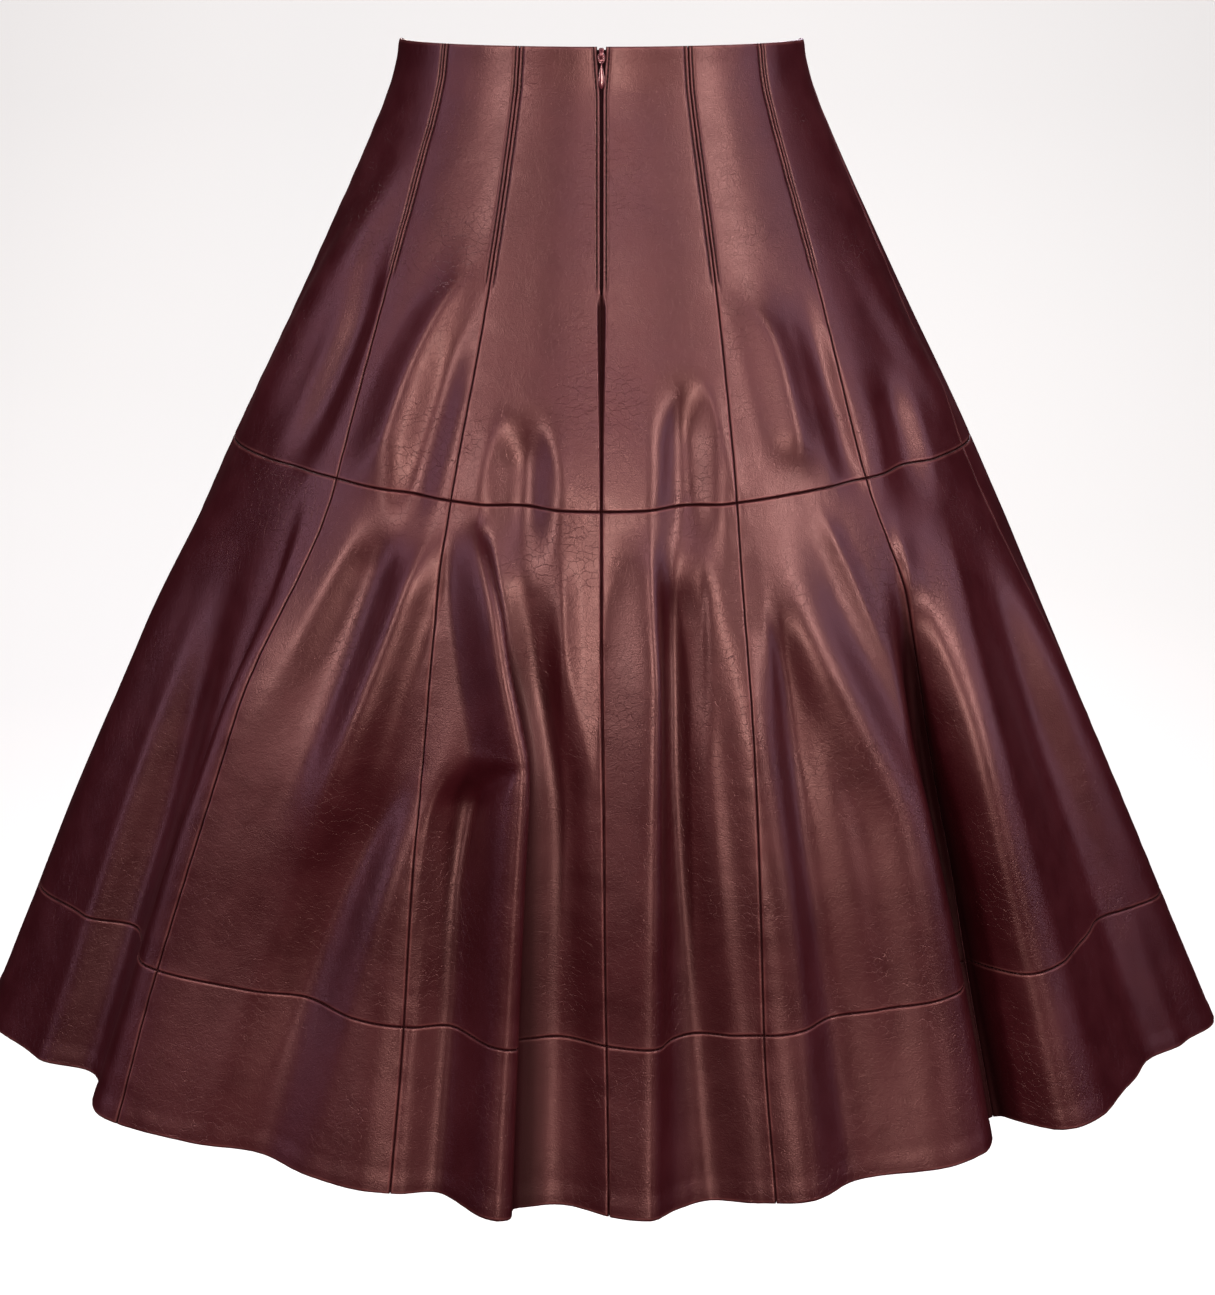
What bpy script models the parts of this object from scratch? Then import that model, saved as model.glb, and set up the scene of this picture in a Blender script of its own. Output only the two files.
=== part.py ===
"""Flared leather skirt with a hip yoke, a gored skirt tier, a hem band and a centre back zip.

Metres, +Z up. The origin is the middle of the waist. -Y is the centre back, where the zip is,
and +X is the wearer's right. Each tier has twelve gores. Every gore is one curved wall of leather,
lofted between rows of points on the skirt's own surface: an oval section that widens downwards,
with the large folds of the leather laid over it.
"""

import math
from collections import namedtuple

import bmesh
import bpy
import numpy as np
from mathutils import Matrix, Vector

# ---------------------------------------------------------------- driving sizes
LEATHER = 0.0012            # wall of a single layer
SEAM_GAP = 0.0003           # clearance between two pieces at a seam
FACETS_ACROSS = 8           # facets across one gore
YOKE_ROWS = (0.000, 0.022, 0.060, 0.105, 0.150, 0.195, 0.240, 0.280)
SKIRT_ROWS = (0.280, 0.325, 0.372, 0.420, 0.468, 0.516, 0.564, 0.612)
HEM_ROWS = (0.612, 0.664, 0.716)

TAPE_WIDTH = 0.022
TAPE_THICKNESS = 0.0006
TAPE_BEHIND = 0.0015        # outer surface of the skirt to the front of the tape
CHAIN_WIDTH = 0.0009
CHAIN_DEPTH = 0.0009
CHAIN_START = 0.0118        # the chain shows from just under the slider
CHAIN_END = 0.148           # the bottom stop
TAPE_START = 0.002          # below the waist edge
TAPE_END = 0.164            # it runs on past the stop
STRIP_LEVELS = 8            # rows of facets down the tape and the chain
STRIP_COLUMNS = 5
SLIDER_TOP = 0.0008         # below the waist edge
SLIDER_LENGTH = 0.0090
SLIDER_WIDTH = 0.0034
SLIDER_DEPTH = 0.0018
SLIDER_SINK = 0.0006        # the hinge axis to the slider's face, along the leather's normal
SLIDER_ROUND = 0.0005
BRIDGE_HALF_LENGTH = 0.0040
BRIDGE_WIDTH = 0.0020
BRIDGE_HEIGHT = 0.0031      # how far it stands off the slider's face
BRIDGE_WALL = 0.0009
RING_WIDTH = 0.0058
RING_LENGTH = 0.0069
RING_WIRE = 0.0009
DROP_WIDTH = 0.0037
DROP_LENGTH = 0.0168
DROP_THICKNESS = 0.0014
DROP_BELOW_RING = 0.0004
NECK_RADIUS = 0.0007
NECK_LENGTH = 0.0022
NECK_BELOW_RING = 0.0008
HINGE_BELOW_EDGE = 0.0046   # waist edge to the pull's hinge axis
HINGE_OFF_SURFACE = 0.0019  # outer surface of the skirt to that axis
REST_TILT = math.radians(3.0)   # the pull leans in until it all but lies on the leather

# how wide the centre back seam stands open down the skirt
OPENING_LEVELS = (0.000, 0.012, 0.030, 0.148, 0.165, 0.200)
OPENING_WIDTHS = (0.0060, 0.0046, 0.0017, 0.0015, 0.0003, 0.0003)

# ---------------------------------------------------------------- the skirt's sections
# drop: how far below the waist the row lies at the side seams
# half_width, half_depth: the oval section there
# back_dip, front_dip: how much lower the row hangs at the centre back and centre front
Section = namedtuple("Section", "drop half_width half_depth back_dip front_dip")
SECTIONS = (
    Section(0.000, 0.1402, 0.0940, 0.000, 0.0140),
    Section(0.030, 0.1475, 0.0985, 0.001, 0.0135),
    Section(0.077, 0.1675, 0.1130, 0.004, 0.0130),
    Section(0.127, 0.1912, 0.1310, 0.007, 0.0125),
    Section(0.184, 0.2188, 0.1510, 0.010, 0.0120),
    Section(0.280, 0.2665, 0.1896, 0.0155, 0.013),
    Section(0.412, 0.3265, 0.2270, 0.021, 0.0160),
    Section(0.520, 0.3745, 0.2510, 0.025, 0.0190),
    Section(0.612, 0.4140, 0.2700, 0.029, 0.0220),
    Section(0.716, 0.4580, 0.3010, 0.034, 0.0260),
)
OVAL_POWER = 1.12           # above 1 draws the oval in a little between back and sides
DIP_POWER = 4
FRONT_EASE = 0.2            # the front hangs lower from just past the side seams on

# ---------------------------------------------------------------- the seams between gores
# degrees round from the centre back, at six levels down the skirt
SEAM_LEVELS = (0.000, 0.145, 0.280, 0.362, 0.612, 0.716)
Seam = namedtuple("Seam", "name waist stitch_end yoke below_yoke hem_seam hem")
SEAMS = (
    Seam("center_back", 0.0, 0.0, 0.0, 0.0, 0.0, 0.0),
    Seam("right_back_inner", 24.4, 22.4, 19.8, 18.3, 15.1, 14.7),
    Seam("right_back_outer", 50.4, 46.1, 42.6, 43.9, 40.6, 39.4),
    Seam("right_side", 88.0, 80.0, 73.5, 73.2, 77.2, 78.0),
    Seam("right_front_outer", 128.0, 127.0, 124.0, 124.0, 124.0, 124.0),
    Seam("right_front_inner", 155.0, 155.0, 154.0, 154.0, 154.0, 154.0),
    Seam("center_front", 180.0, 180.0, 180.0, 180.0, 180.0, 180.0),
    Seam("left_front_inner", 205.0, 205.0, 206.0, 206.0, 206.0, 206.0),
    Seam("left_front_outer", 232.0, 234.0, 237.0, 237.0, 237.0, 237.0),
    Seam("left_side", 270.0, 271.0, 271.0, 271.3, 272.0, 272.0),
    Seam("left_back_outer", 311.0, 314.5, 317.5, 318.2, 316.4, 316.5),
    Seam("left_back_inner", 337.0, 338.1, 337.8, 338.4, 341.3, 341.9),
)
GORES = (
    "back_right_inner", "back_right_mid", "back_right_side",
    "front_right_side", "front_right_mid", "front_right_inner",
    "front_left_inner", "front_left_mid", "front_left_side",
    "back_left_side", "back_left_mid", "back_left_inner",
)

# ---------------------------------------------------------------- the large folds
# path: (drop, degrees) down the crest or trough; left, right: reach to each side in degrees
# height: how far it stands out, or in where negative; lean: how far its crest leans round
# rise: the drop over which it grows from nothing; fade: the same at its lower end, 0 at the hem
Fold = namedtuple("Fold", "name path left right height lean rise fade")
HEM_END = 0.730
FOLDS = (
    # yoke, back
    Fold("side_bow_left", ((0.05, -48), (0.105, -59), (0.19, -69), (0.28, -72)),
         13, 13, 0.0060, 0.0, 0.10, 0.05),
    Fold("hollow_by_outer_seam", ((0.12, -51), (0.20, -50), (0.30, -53)),
         8, 5, -0.0070, 0.0, 0.08, 0.06),
    Fold("diagonal_left", ((0.11, -26), (0.16, -30), (0.21, -34), (0.30, -36)),
         8, 7, 0.0060, 0.0, 0.08, 0.05),
    Fold("hollow_left_inner", ((0.17, -26), (0.23, -27.5), (0.31, -29)),
         5, 5, -0.0050, 0.0, 0.06, 0.04),
    Fold("arch_left", ((0.215, -12), (0.28, -11.5), (0.33, -11)),
         6.5, 6.0, -0.0105, 0.0, 0.045, 0.05),
    Fold("arch_right", ((0.195, 14), (0.24, 13), (0.33, 11.5)),
         6.0, 6.0, -0.0115, 0.0, 0.05, 0.06),
    Fold("diagonal_right", ((0.13, 28), (0.19, 31), (0.28, 31.5)),
         7, 8, 0.0055, 0.0, 0.08, 0.04),
    Fold("hollow_right_outer", ((0.15, 41), (0.21, 41), (0.30, 40)),
         5, 4, -0.0050, 0.0, 0.08, 0.04),
    Fold("side_arch_right", ((0.205, 55), (0.25, 55.5), (0.32, 50)),
         8.5, 7, -0.0090, 0.0, 0.05, 0.05),
    Fold("side_bow_right", ((0.12, 63), (0.20, 68), (0.28, 73)),
         10, 12, 0.0055, 0.0, 0.10, 0.05),
    # skirt tier and hem band, back
    Fold("flute_left_side", ((0.28, -72), (0.36, -76), (0.50, -78), (HEM_END, -78)),
         13, 13, 0.0110, 0.0, 0.14, 0.0),
    Fold("trough_left_side", ((0.30, -59), (0.45, -58), (HEM_END, -55.5)),
         8, 7, -0.0200, -0.003, 0.26, 0.0),
    Fold("flute_left_outer", ((0.28, -40), (0.38, -42), (0.50, -44), (HEM_END, -45)),
         7.5, 12, 0.0150, -0.0170, 0.16, 0.0),
    Fold("trough_upper_left", ((0.29, -31.5), (0.38, -34), (0.48, -37)),
         5, 4.5, -0.0070, 0.0, 0.05, 0.12),
    Fold("diagonal_ridge_left", ((0.285, -24), (0.37, -27), (0.45, -30.3), (0.56, -35)),
         5, 5, 0.0080, 0.0, 0.06, 0.14),
    Fold("trough_lower_left", ((0.36, -20), (0.45, -23.5), (0.55, -28.2), (HEM_END, -31.5)),
         6, 6, -0.0110, 0.0, 0.18, 0.0),
    Fold("flute_left_inner", ((0.42, -19), (0.55, -21), (HEM_END, -21)),
         6, 5, 0.0040, 0.0, 0.14, 0.0),
    Fold("kinked_ridge", ((0.282, -18.6), (0.35, -15), (0.43, -10.8), (0.50, -10.2), (HEM_END, -9.6)),
         5.0, 3.2, 0.0150, 0.0120, 0.07, 0.0),
    Fold("trough_below_kink", ((0.436, -14), (0.475, -15.4), (0.60, -14.7), (HEM_END, -14.2)),
         3.6, 4.0, -0.0130, 0.0, 0.035, 0.0),
    Fold("recess_left_of_zip", ((0.29, -11.5), (0.38, -8), (0.46, -5), (HEM_END, -3.6)),
         4.0, 4.5, -0.0120, 0.0, 0.12, 0.0),
    Fold("flute_center", ((0.28, 6.5), (0.36, 4.8), (0.48, 3.6), (HEM_END, 2.4)),
         4.8, 4.2, 0.0100, 0.0100, 0.12, 0.0),
    Fold("recess_right", ((0.28, 11), (0.38, 9.2), (0.50, 8.6), (HEM_END, 9.2)),
         4.2, 4.5, -0.0120, 0.0, 0.10, 0.0),
    Fold("flute_right_inner", ((0.30, 17), (0.40, 17.2), (HEM_END, 17.0)),
         4.6, 5.0, 0.0080, 0.0, 0.14, 0.0),
    Fold("trough_right_inner", ((0.33, 23), (0.45, 22.4), (HEM_END, 22.8)),
         4.0, 5.0, -0.0060, 0.0, 0.12, 0.0),
    Fold("broad_ridge_right", ((0.29, 25), (0.35, 26.8), (0.43, 31), (0.50, 34), (HEM_END, 31)),
         6.0, 6.5, 0.0090, 0.0, 0.12, 0.0),
    Fold("deep_fold_right", ((0.32, 43.6), (0.42, 42.6), (0.52, 41.2), (HEM_END, 39.2)),
         5.0, 4.5, -0.0300, 0.0, 0.20, 0.0),
    Fold("flute_right_outer", ((0.29, 56), (0.38, 51), (0.52, 48.2), (HEM_END, 46.6)),
         7.0, 10, 0.0200, -0.0120, 0.20, 0.0),
    Fold("trough_right_side", ((0.32, 64), (0.45, 62), (HEM_END, 62)),
         7, 7, -0.0100, 0.0, 0.18, 0.0),
    Fold("flute_right_side", ((0.30, 70), (0.45, 71.5), (HEM_END, 77)),
         8, 10, 0.0110, 0.0, 0.16, 0.0),
    # front, which hangs in the same way
    Fold("front_trough_a", ((0.34, 92), (HEM_END, 93)), 9, 8, -0.0160, 0.0, 0.20, 0.0),
    Fold("front_flute_a", ((0.29, 107), (0.45, 109), (HEM_END, 110)), 10, 9, 0.0140, 0.0, 0.16, 0.0),
    Fold("front_trough_b", ((0.36, 124), (HEM_END, 126)), 8, 8, -0.0170, 0.0, 0.20, 0.0),
    Fold("front_arch_b", ((0.20, 140), (0.30, 138)), 8, 8, -0.0080, 0.0, 0.05, 0.05),
    Fold("front_flute_b", ((0.30, 145), (0.45, 142), (HEM_END, 140)), 8, 7, 0.0140, 0.006, 0.16, 0.0),
    Fold("front_trough_c", ((0.34, 155), (HEM_END, 153)), 6, 6, -0.0150, 0.0, 0.18, 0.0),
    Fold("front_flute_c", ((0.29, 166), (0.45, 165), (HEM_END, 166)), 6, 6, 0.0120, 0.0, 0.14, 0.0),
    Fold("front_trough_d", ((0.31, 176), (HEM_END, 177)), 5, 5, -0.0130, 0.0, 0.16, 0.0),
    Fold("front_arch_d", ((0.21, 187), (0.30, 188)), 7, 7, -0.0090, 0.0, 0.05, 0.05),
    Fold("front_flute_d", ((0.30, 186), (0.44, 188), (HEM_END, 188)), 6, 5.5, 0.0130, -0.005, 0.14, 0.0),
    Fold("front_trough_e", ((0.36, 198), (HEM_END, 199)), 6, 6, -0.0150, 0.0, 0.20, 0.0),
    Fold("front_flute_e", ((0.29, 210), (0.45, 212), (HEM_END, 211)), 7, 7, 0.0120, 0.0, 0.15, 0.0),
    Fold("front_trough_f", ((0.34, 224), (HEM_END, 225)), 8, 7, -0.0180, 0.0, 0.22, 0.0),
    Fold("front_flute_f", ((0.29, 238), (0.50, 239), (HEM_END, 240)), 8, 9, 0.0140, 0.0, 0.18, 0.0),
    Fold("front_trough_g", ((0.38, 255), (HEM_END, 257)), 9, 9, -0.0150, 0.0, 0.22, 0.0),
    Fold("front_flute_g", ((0.32, 268), (HEM_END, 269)), 8, 8, 0.0060, 0.0, 0.18, 0.0),
)

# ---------------------------------------------------------------- colours of the materials
LEATHER_COLOR = (0.110, 0.030, 0.038, 1.0)
TAPE_COLOR = (0.070, 0.018, 0.024, 1.0)
METAL_COLOR = (0.150, 0.040, 0.048, 1.0)


def smooth_rows(levels, rows, drop):
    """Rows of numbers read at any drop, on one smooth curve through the table's rows."""
    levels = np.asarray(levels, dtype=float)
    rows = np.asarray(rows, dtype=float)
    if rows.ndim == 1:
        rows = rows[:, None]
    slopes = np.empty_like(rows)
    slopes[1:-1] = (rows[2:] - rows[:-2]) / (levels[2:] - levels[:-2])[:, None]
    slopes[0] = (rows[1] - rows[0]) / (levels[1] - levels[0])
    slopes[-1] = (rows[-1] - rows[-2]) / (levels[-1] - levels[-2])
    drop = np.clip(np.asarray(drop, dtype=float), levels[0], levels[-1])
    below = np.clip(np.searchsorted(levels, drop, side="right") - 1, 0, len(levels) - 2)
    step = (levels[below + 1] - levels[below])[..., None]
    t = (drop - levels[below])[..., None] / step
    return ((2 * t**3 - 3 * t**2 + 1) * rows[below]
            + (t**3 - 2 * t**2 + t) * step * slopes[below]
            + (3 * t**2 - 2 * t**3) * rows[below + 1]
            + (t**3 - t**2) * step * slopes[below + 1])


def ease(value):
    """0 to 1 with a soft start and end."""
    value = np.clip(value, 0.0, 1.0)
    return value * value * (3.0 - 2.0 * value)


def fold_amount(fold, degrees, drop):
    """How strongly a fold acts at a place, 0 to 1."""
    levels = [point[0] for point in fold.path]
    center = smooth_rows(levels, [point[1] for point in fold.path], drop)[..., 0]
    away = (degrees - center + 180.0) % 360.0 - 180.0
    reach = np.where(away < 0.0, fold.left, fold.right)
    across = np.cos(0.5 * math.pi * np.clip(away / reach, -1.0, 1.0)) ** 2
    along = ease((drop - levels[0]) / fold.rise + 0.02)
    if fold.fade > 0.0:
        along = along * ease((levels[-1] - drop) / fold.fade)
    return across * along


def surface_points(degrees, drop):
    """Points of the outer surface of the skirt, an array of x, y, z."""
    degrees, drop = np.broadcast_arrays(np.asarray(degrees, float), np.asarray(drop, float))
    table = smooth_rows([row.drop for row in SECTIONS], [row[1:] for row in SECTIONS], drop)
    half_width, half_depth, back_dip, front_dip = np.moveaxis(table, -1, 0)
    angle = np.radians(degrees)
    sine, cosine = np.sin(angle), np.cos(angle)
    depth = half_depth * np.sign(cosine) * np.abs(cosine) ** OVAL_POWER
    front_share = -cosine * ease(-cosine / FRONT_EASE)
    dip = np.where(cosine > 0.0, back_dip * cosine**DIP_POWER, front_dip * front_share)
    out_x, out_y = sine * half_depth, -cosine * half_width
    length = np.hypot(out_x, out_y)
    out_x, out_y = out_x / length, out_y / length
    proud = np.zeros_like(drop)
    round_shift = np.zeros_like(drop)
    for fold in FOLDS:
        amount = fold_amount(fold, degrees, drop)
        proud = proud + fold.height * amount
        round_shift = round_shift + fold.lean * amount
    x = half_width * sine + out_x * proud - out_y * round_shift
    y = -depth + out_y * proud + out_x * round_shift
    return np.stack((x, y, -drop - dip), axis=-1)


def surface_normals(degrees, drop):
    """Outward unit normals of the skirt's surface."""
    turn, fall = 0.05, 0.0005
    across = surface_points(degrees + turn, drop) - surface_points(degrees - turn, drop)
    down = surface_points(degrees, drop + fall) - surface_points(degrees, drop - fall)
    normal = np.cross(down, across)
    return normal / np.linalg.norm(normal, axis=-1, keepdims=True)


# ---------------------------------------------------------------- build helpers
def principled(name, color, roughness, metallic=0.0):
    """A plain material of one colour."""
    material = bpy.data.materials.new(name)
    material.use_nodes = True
    shader = material.node_tree.nodes["Principled BSDF"]
    shader.inputs["Base Color"].default_value = color
    shader.inputs["Roughness"].default_value = roughness
    shader.inputs["Metallic"].default_value = metallic
    material.diffuse_color = color
    return material


def add_object(name, mesh, material, collection):
    """Link a named object that shows a mesh in one material."""
    mesh.materials.clear()
    mesh.materials.append(material)
    obj = bpy.data.objects.new(name, mesh)
    collection.objects.link(obj)
    return obj


def wall_mesh(name, outer, inner):
    """A closed wall between two grids of points with the same rows and columns."""
    rows, columns = outer.shape[:2]
    mesh_data = bmesh.new()
    front = [[mesh_data.verts.new(point) for point in row] for row in outer]
    back = [[mesh_data.verts.new(point) for point in row] for row in inner]
    for i in range(rows - 1):
        for j in range(columns - 1):
            a, b, c, d = front[i][j], front[i + 1][j], front[i + 1][j + 1], front[i][j + 1]
            mesh_data.faces.new((a, b, c))
            mesh_data.faces.new((a, c, d))
            a, b, c, d = back[i][j], back[i + 1][j], back[i + 1][j + 1], back[i][j + 1]
            mesh_data.faces.new((a, c, b))
            mesh_data.faces.new((a, d, c))
    rim = [(0, j) for j in range(columns)]
    rim += [(i, columns - 1) for i in range(1, rows)]
    rim += [(rows - 1, j) for j in range(columns - 2, -1, -1)]
    rim += [(i, 0) for i in range(rows - 2, 0, -1)]
    for (i, j), (k, m) in zip(rim, rim[1:] + rim[:1]):
        mesh_data.faces.new((front[i][j], front[k][m], back[k][m]))
        mesh_data.faces.new((front[i][j], back[k][m], back[i][j]))
    mesh = bpy.data.meshes.new(name)
    mesh_data.to_mesh(mesh)
    mesh_data.free()
    mesh.shade_smooth()
    mesh.set_sharp_from_angle(angle=math.radians(50))
    return mesh


# ---------------------------------------------------------------- the gores
def seam_degrees(seam, drop):
    """Where a seam lies round the skirt at some drops."""
    return smooth_rows(SEAM_LEVELS, seam[1:], drop)[..., 0]


def turn_per_metre(degrees, drop):
    """Degrees round the skirt in one metre along the surface."""
    turn = 0.05
    step = surface_points(degrees + turn, drop) - surface_points(degrees - turn, drop)
    return 2.0 * turn / np.linalg.norm(step, axis=-1)


def gore_wall(name, first_seam, last_seam, levels):
    """The leather wall of one gore between two seams and the first and last of some levels."""
    drops = np.array(levels)
    drops[0] += 0.5 * SEAM_GAP * (levels[0] > 0.0)
    drops[-1] -= 0.5 * SEAM_GAP
    edges = []
    for seam, side in ((first_seam, 1.0), (last_seam, -1.0)):
        middle = seam_degrees(seam, drops)
        gap = np.full_like(drops, SEAM_GAP)
        if seam.name == "center_back":
            gap = np.interp(drops, OPENING_LEVELS, OPENING_WIDTHS)
        edges.append(middle + side * 0.5 * gap * turn_per_metre(middle, drops))
    first, last = edges
    last = np.where(last < first, last + 360.0, last)
    share = np.linspace(0.0, 1.0, FACETS_ACROSS + 1)
    degrees = first[:, None] + (last - first)[:, None] * share[None, :]
    drop_grid = np.repeat(drops[:, None], share.size, axis=1)
    outer = surface_points(degrees, drop_grid)
    inner = outer - LEATHER * surface_normals(degrees, drop_grid)
    return wall_mesh(name, outer, inner)


def build_gores(collection, leather):
    """All the gores of the three tiers."""
    tiers = (("yoke", YOKE_ROWS), ("skirt", SKIRT_ROWS), ("hem", HEM_ROWS))
    for tier, levels in tiers:
        for index, gore in enumerate(GORES):
            name = f"{tier}_{gore}"
            first_seam = SEAMS[index]
            last_seam = SEAMS[(index + 1) % len(SEAMS)]
            mesh = gore_wall(name, first_seam, last_seam, levels)
            add_object(name, mesh, leather, collection)


# ---------------------------------------------------------------- the zip
def strip_wall(name, half_width, levels, behind, thickness):
    """A strip down the centre back, some way behind the skirt's outer surface."""
    drops = np.asarray(levels)
    share = np.linspace(-1.0, 1.0, STRIP_COLUMNS)
    turn = half_width * turn_per_metre(np.zeros_like(drops), drops)
    degrees = turn[:, None] * share[None, :]
    drop_grid = np.repeat(drops[:, None], share.size, axis=1)
    points = surface_points(degrees, drop_grid)
    normals = surface_normals(degrees, drop_grid)
    return wall_mesh(name, points - behind * normals, points - (behind + thickness) * normals)


def strip_levels(start, end):
    """Evenly spaced drops for a strip of the zip."""
    return np.linspace(start, end, STRIP_LEVELS)


def hinge_frame():
    """Matrix of the pull's hinge: origin on its axis, -Y off the leather, Z up along it."""
    drop = np.array(HINGE_BELOW_EDGE)
    point = Vector(surface_points(0.0, drop))
    normal = Vector(surface_normals(0.0, drop))
    axis = Vector((1.0, 0.0, 0.0))
    up = axis.cross(-normal).normalized()
    turned = Matrix((axis, -normal, up)).transposed().to_4x4()
    return Matrix.Translation(point + HINGE_OFF_SURFACE * normal) @ turned


def cylinder_mesh(name, radius, length, sides):
    """A capped cylinder along X."""
    mesh_data = bmesh.new()
    bmesh.ops.create_cone(mesh_data, cap_ends=True, segments=sides, radius1=radius,
                          radius2=radius, depth=length)
    bmesh.ops.rotate(mesh_data, verts=mesh_data.verts, matrix=Matrix.Rotation(math.pi / 2, 3, "Y"))
    mesh = bpy.data.meshes.new(name)
    mesh_data.to_mesh(mesh)
    mesh_data.free()
    return mesh


def ellipse_rod(name, half_height, half_depth, width, sides=24):
    """A rod along X with an elliptical section."""
    mesh = cylinder_mesh(name, 1.0, width, sides)
    mesh.transform(Matrix.Diagonal((1.0, half_depth, half_height, 1.0)))
    return mesh


def keep_front(mesh, depth):
    """Cut away what lies further back than a depth along Y, and close the cut."""
    mesh_data = bmesh.new()
    mesh_data.from_mesh(mesh)
    geometry = mesh_data.verts[:] + mesh_data.edges[:] + mesh_data.faces[:]
    cut = bmesh.ops.bisect_plane(mesh_data, geom=geometry, plane_co=(0.0, depth, 0.0),
                                 plane_no=(0.0, 1.0, 0.0), clear_outer=True)
    edges = [item for item in cut["geom_cut"] if isinstance(item, bmesh.types.BMEdge)]
    bmesh.ops.contextual_create(mesh_data, geom=edges)
    mesh_data.to_mesh(mesh)
    mesh_data.free()


def hide_cutter(obj):
    """Keep a cutter out of the finished model."""
    obj.hide_render = True
    obj.display_type = "WIRE"


def boolean(obj, other, operation):
    """Join another object to this one, or cut it away."""
    modifier = obj.modifiers.new(operation.lower(), "BOOLEAN")
    modifier.operation = operation
    modifier.object = other
    modifier.solver = "EXACT"


def build_slider(frame, parts, cutters, metal):
    """Slider body with the bridge that the pull hangs from."""
    face = HINGE_OFF_SURFACE - SLIDER_SINK
    bpy.ops.mesh.primitive_cube_add(size=1.0)
    slider = bpy.context.object
    slider.name = "zip_slider"
    middle = Vector((0.0, face + 0.5 * SLIDER_DEPTH,
                     HINGE_BELOW_EDGE - SLIDER_TOP - 0.5 * SLIDER_LENGTH))
    shape = Matrix.Translation(middle) @ Matrix.Diagonal((SLIDER_WIDTH, SLIDER_DEPTH, SLIDER_LENGTH, 1.0))
    slider.data.transform(shape)
    slider.matrix_world = frame
    slider.data.materials.append(metal)
    move_to(slider, parts)
    bevel = slider.modifiers.new("rounded", "BEVEL")
    bevel.width = SLIDER_ROUND
    bevel.segments = 3

    bridge_seat = Matrix.Translation((0.0, face, 0.0))
    bridge_mesh = ellipse_rod("bridge", BRIDGE_HALF_LENGTH, BRIDGE_HEIGHT, BRIDGE_WIDTH)
    keep_front(bridge_mesh, 0.5 * SLIDER_DEPTH)
    bridge_mesh.transform(bridge_seat)
    bridge = bpy.data.objects.new("bridge", bridge_mesh)
    eye_mesh = ellipse_rod("bridge_eye", BRIDGE_HALF_LENGTH - BRIDGE_WALL,
                           BRIDGE_HEIGHT - BRIDGE_WALL, 2.0 * BRIDGE_WIDTH)
    eye_mesh.transform(bridge_seat)
    eye = bpy.data.objects.new("bridge_eye", eye_mesh)
    for cutter in (bridge, eye):
        cutters.objects.link(cutter)
        cutter.matrix_world = frame
        hide_cutter(cutter)
    boolean(bridge, eye, "DIFFERENCE")
    boolean(slider, bridge, "UNION")
    slider.data.shade_smooth()
    slider.data.set_sharp_from_angle(angle=math.radians(40))


def build_pull(frame, parts, cutters, metal):
    """Pull tab: a ring round the bridge's bar, a neck and a slim drop, hanging from the hinge."""
    hang = frame @ Matrix.Rotation(REST_TILT, 4, "X")
    bpy.ops.mesh.primitive_uv_sphere_add(segments=20, ring_count=14, radius=0.5)
    pull = bpy.context.object
    pull.name = "zip_pull"
    drop_top = RING_LENGTH - RING_WIRE
    middle = Matrix.Translation((0.0, 0.0, -drop_top - 0.5 * DROP_LENGTH - DROP_BELOW_RING))
    pull.data.transform(middle @ Matrix.Diagonal((DROP_WIDTH, DROP_THICKNESS, DROP_LENGTH, 1.0)))
    pull.matrix_world = hang
    pull.data.materials.append(metal)
    move_to(pull, parts)

    half_width = 0.5 * (RING_WIDTH - RING_WIRE)
    half_length = 0.5 * (RING_LENGTH - RING_WIRE)
    bpy.ops.mesh.primitive_torus_add(major_segments=28, minor_segments=10, major_radius=1.0,
                                     minor_radius=0.5 * RING_WIRE / half_length)
    ring = bpy.context.object
    ring.name = "pull_ring"
    stand = Matrix.Rotation(math.pi / 2, 4, "X")
    ring.data.transform(Matrix.Translation((0.0, 0.0, -half_length))
                        @ Matrix.Diagonal((half_width, half_length, half_length, 1.0)) @ stand)
    neck_mesh = cylinder_mesh("pull_neck", NECK_RADIUS, NECK_LENGTH, 16)
    neck_mesh.transform(Matrix.Translation((0.0, 0.0, -drop_top - NECK_BELOW_RING))
                        @ Matrix.Rotation(math.pi / 2, 4, "Y"))
    neck = bpy.data.objects.new("pull_neck", neck_mesh)
    cutters.objects.link(neck)
    move_to(ring, cutters)
    for cutter in (ring, neck):
        cutter.matrix_world = hang
        hide_cutter(cutter)
    boolean(pull, neck, "UNION")
    boolean(pull, ring, "UNION")
    pull.data.shade_smooth()
    pull.data.set_sharp_from_angle(angle=math.radians(40))


def move_to(obj, collection):
    """Put an object in one collection only."""
    for old in list(obj.users_collection):
        old.objects.unlink(obj)
    collection.objects.link(obj)


def build_zip(parts, cutters):
    """Tape, chain, slider and pull tab in the centre back seam."""
    tape_cloth = principled("zip_tape_cloth", TAPE_COLOR, 0.8)
    metal = principled("zip_lacquer", METAL_COLOR, 0.3, 0.6)
    tape_mesh = strip_wall("zip_tape", 0.5 * TAPE_WIDTH, strip_levels(TAPE_START, TAPE_END),
                           TAPE_BEHIND, TAPE_THICKNESS)
    add_object("zip_tape", tape_mesh, tape_cloth, parts)
    chain_front = TAPE_BEHIND - SEAM_GAP - CHAIN_DEPTH
    chain_mesh = strip_wall("zip_chain", 0.5 * CHAIN_WIDTH, strip_levels(CHAIN_START, CHAIN_END),
                            chain_front, CHAIN_DEPTH)
    add_object("zip_chain", chain_mesh, tape_cloth, parts)
    frame = hinge_frame()
    build_slider(frame, parts, cutters, metal)
    build_pull(frame, parts, cutters, metal)


def new_collection(name):
    """A collection linked to the scene."""
    collection = bpy.data.collections.new(name)
    bpy.context.scene.collection.children.link(collection)
    return collection


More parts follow.
